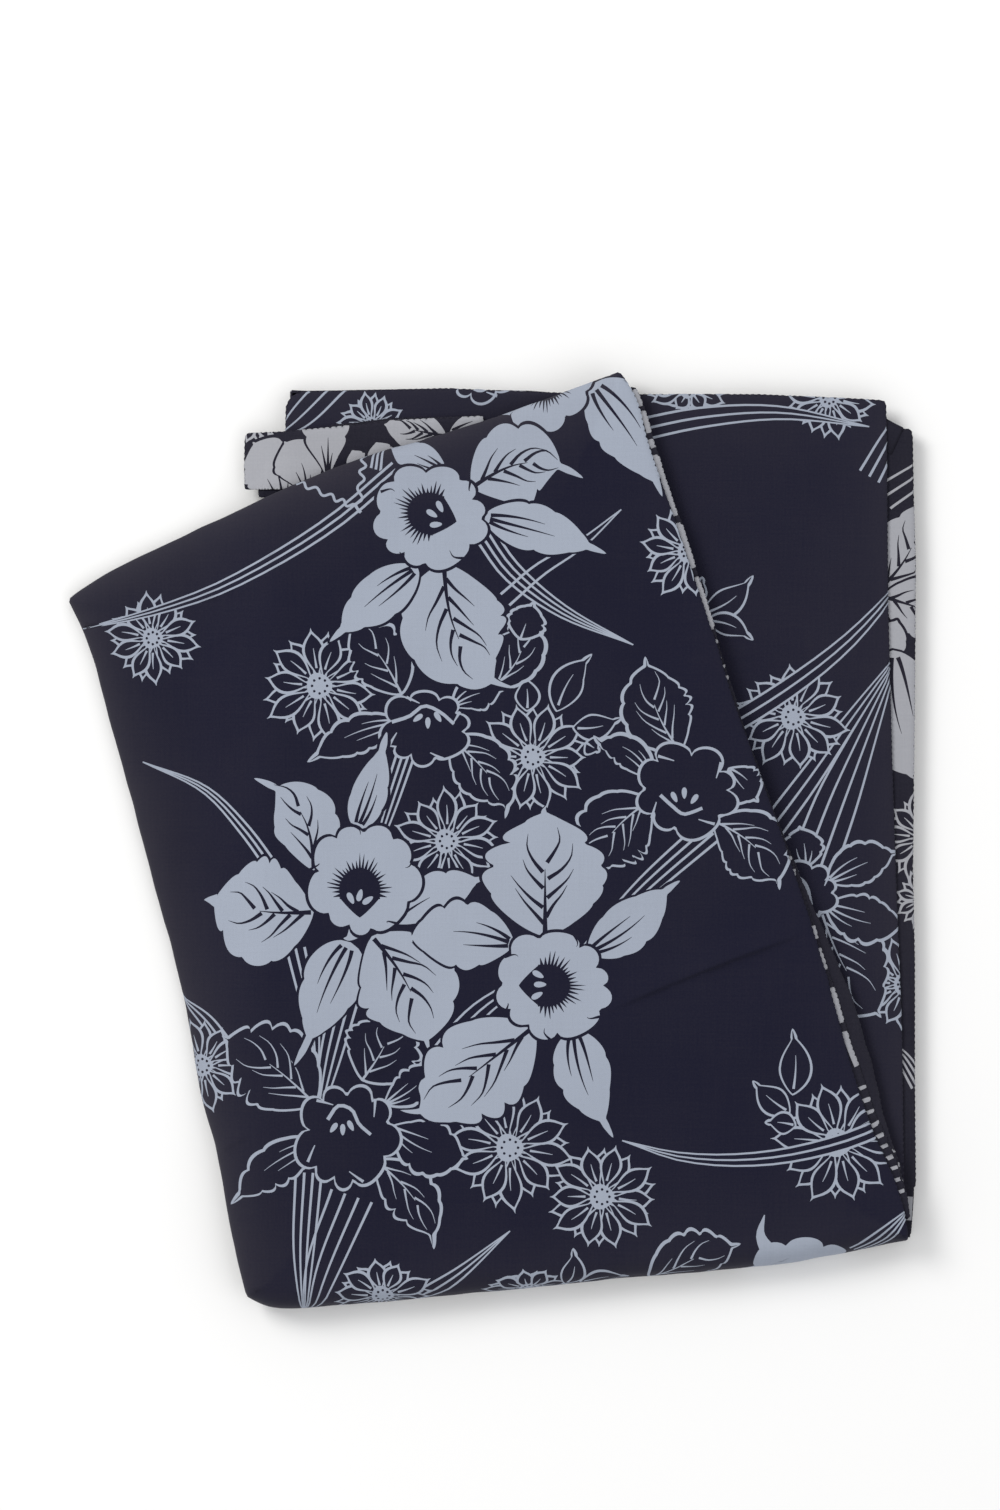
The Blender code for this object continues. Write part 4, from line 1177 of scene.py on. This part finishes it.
# Each piece's node, its slot, how its sheet is held and the piece that it rests on
stated = (
    (underPanel, "left_body_under", "printed_cotton", "laid"),
    (rearPanel, "right_body", "printed_cotton", "folded", rearUpperLayers),
    (sleeveLayer, "right_sleeve", "printed_cotton", "folded", rearRightLayers),
    (overCollarStrip, "over_collar", "worn_cotton", "folded", rearPanel),
    (collarStrip, "collar", "worn_cotton", "folded", overCollarStrip),
    (leftPly, "left_overlap", "printed_cotton", "folded", rightPly),
    (rightPly, "right_overlap", "printed_cotton", "folded", frontRightLayers),
    (frontPanel, "left_body", "printed_cotton", "folded", leftPly),
    (rearRightLayers, "folded_layers", "worn_cotton", "folded", underPanel),
    (rearUpperLayers, "folded_layers", "worn_cotton", "folded", underPanel),
    (rearLeftLayers, "folded_layers", "worn_cotton", "folded", underPanel),
    (frontRightLayers, "folded_layers", "worn_cotton", "folded", rearPanel),
    (frontUpperLayers, "folded_layers", "worn_cotton", "folded", rearPanel),
)
for piece, node, slot, *_ in stated:
    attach(piece, "root")
    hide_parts(node)
for piece, node, slot, held, *under in stated:  # the cut of what shows comes from the piece's flat outline
    width, length, area = (round(number, 4) for number in cuts[piece.name])
    area = min(area, round(width * length, 4))
    tuple(under)
print("pieces ride on the robe")

# Plain pale floor, soft studio light from the upper left, camera straight above. The view in metres: the
# camera's height and place, how tall the picture is, and the height in the robe at which it is that tall
view = {"height": 3.0, "centreX": 0.00425, "centreY": 0.043, "tall": 0.755, "level": 0.018}


# The floor: a square of 8 m, just below the surface so that nothing of the robe touches it
def makeFloor():
    half, below = 4, -0.0002
    mesh = bpy.data.meshes.new("floor")
    mesh.from_pydata([(-half, -half, below), (half, -half, below), (half, half, below), (-half, half, below)],
                     [], [(0, 1, 2, 3)])
    material = bpy.data.materials.new("paleFloor")
    material.use_nodes = True
    shader = material.node_tree.nodes["Principled BSDF"]
    shader.inputs["Base Color"].default_value = (0.86, 0.86, 0.86, 1)
    shader.inputs["Roughness"].default_value = 0.9
    mesh.materials.append(material)
    floor = bpy.data.objects.new("floor", mesh)
    bpy.context.scene.collection.objects.link(floor)


# A square area light of a size in metres and a power in watts, turned to the frame's origin
def makeLight(name, place, size, power, colour):
    data = bpy.data.lights.new(name, "AREA")
    data.energy, data.size, data.color = power, size, colour
    made = bpy.data.objects.new(name, data)
    made.location = place
    made.rotation_euler = (-Vector(place)).to_track_quat("-Z", "Y").to_euler()
    bpy.context.scene.collection.objects.link(made)


makeFloor()
lights = {"keyLight": ((-1.8, 1.5, 2.2), 1.4, 60, (1, 0.99, 0.97)),
          "fillLight": ((1.8, -1.2, 2.6), 2.5, 14, (0.95, 0.97, 1))}
for name, row in lights.items():
    makeLight(name, *row)
world = bpy.data.worlds.new("studio")
world.use_nodes = True
background = world.node_tree.nodes["Background"].inputs
background["Color"].default_value, background["Strength"].default_value = (1, 1, 1, 1), 0.75
bpy.context.scene.world = world
bpy.context.scene.view_settings.view_transform = "Standard"

camera = bpy.data.objects.new("camera", bpy.data.cameras.new("camera"))
camera.location = (view["centreX"], view["centreY"], view["height"])
camera.data.sensor_width = 36
camera.data.lens = camera.data.sensor_width * (view["height"] - view["level"]) / view["tall"]
bpy.context.scene.collection.objects.link(camera)
bpy.context.scene.camera = camera
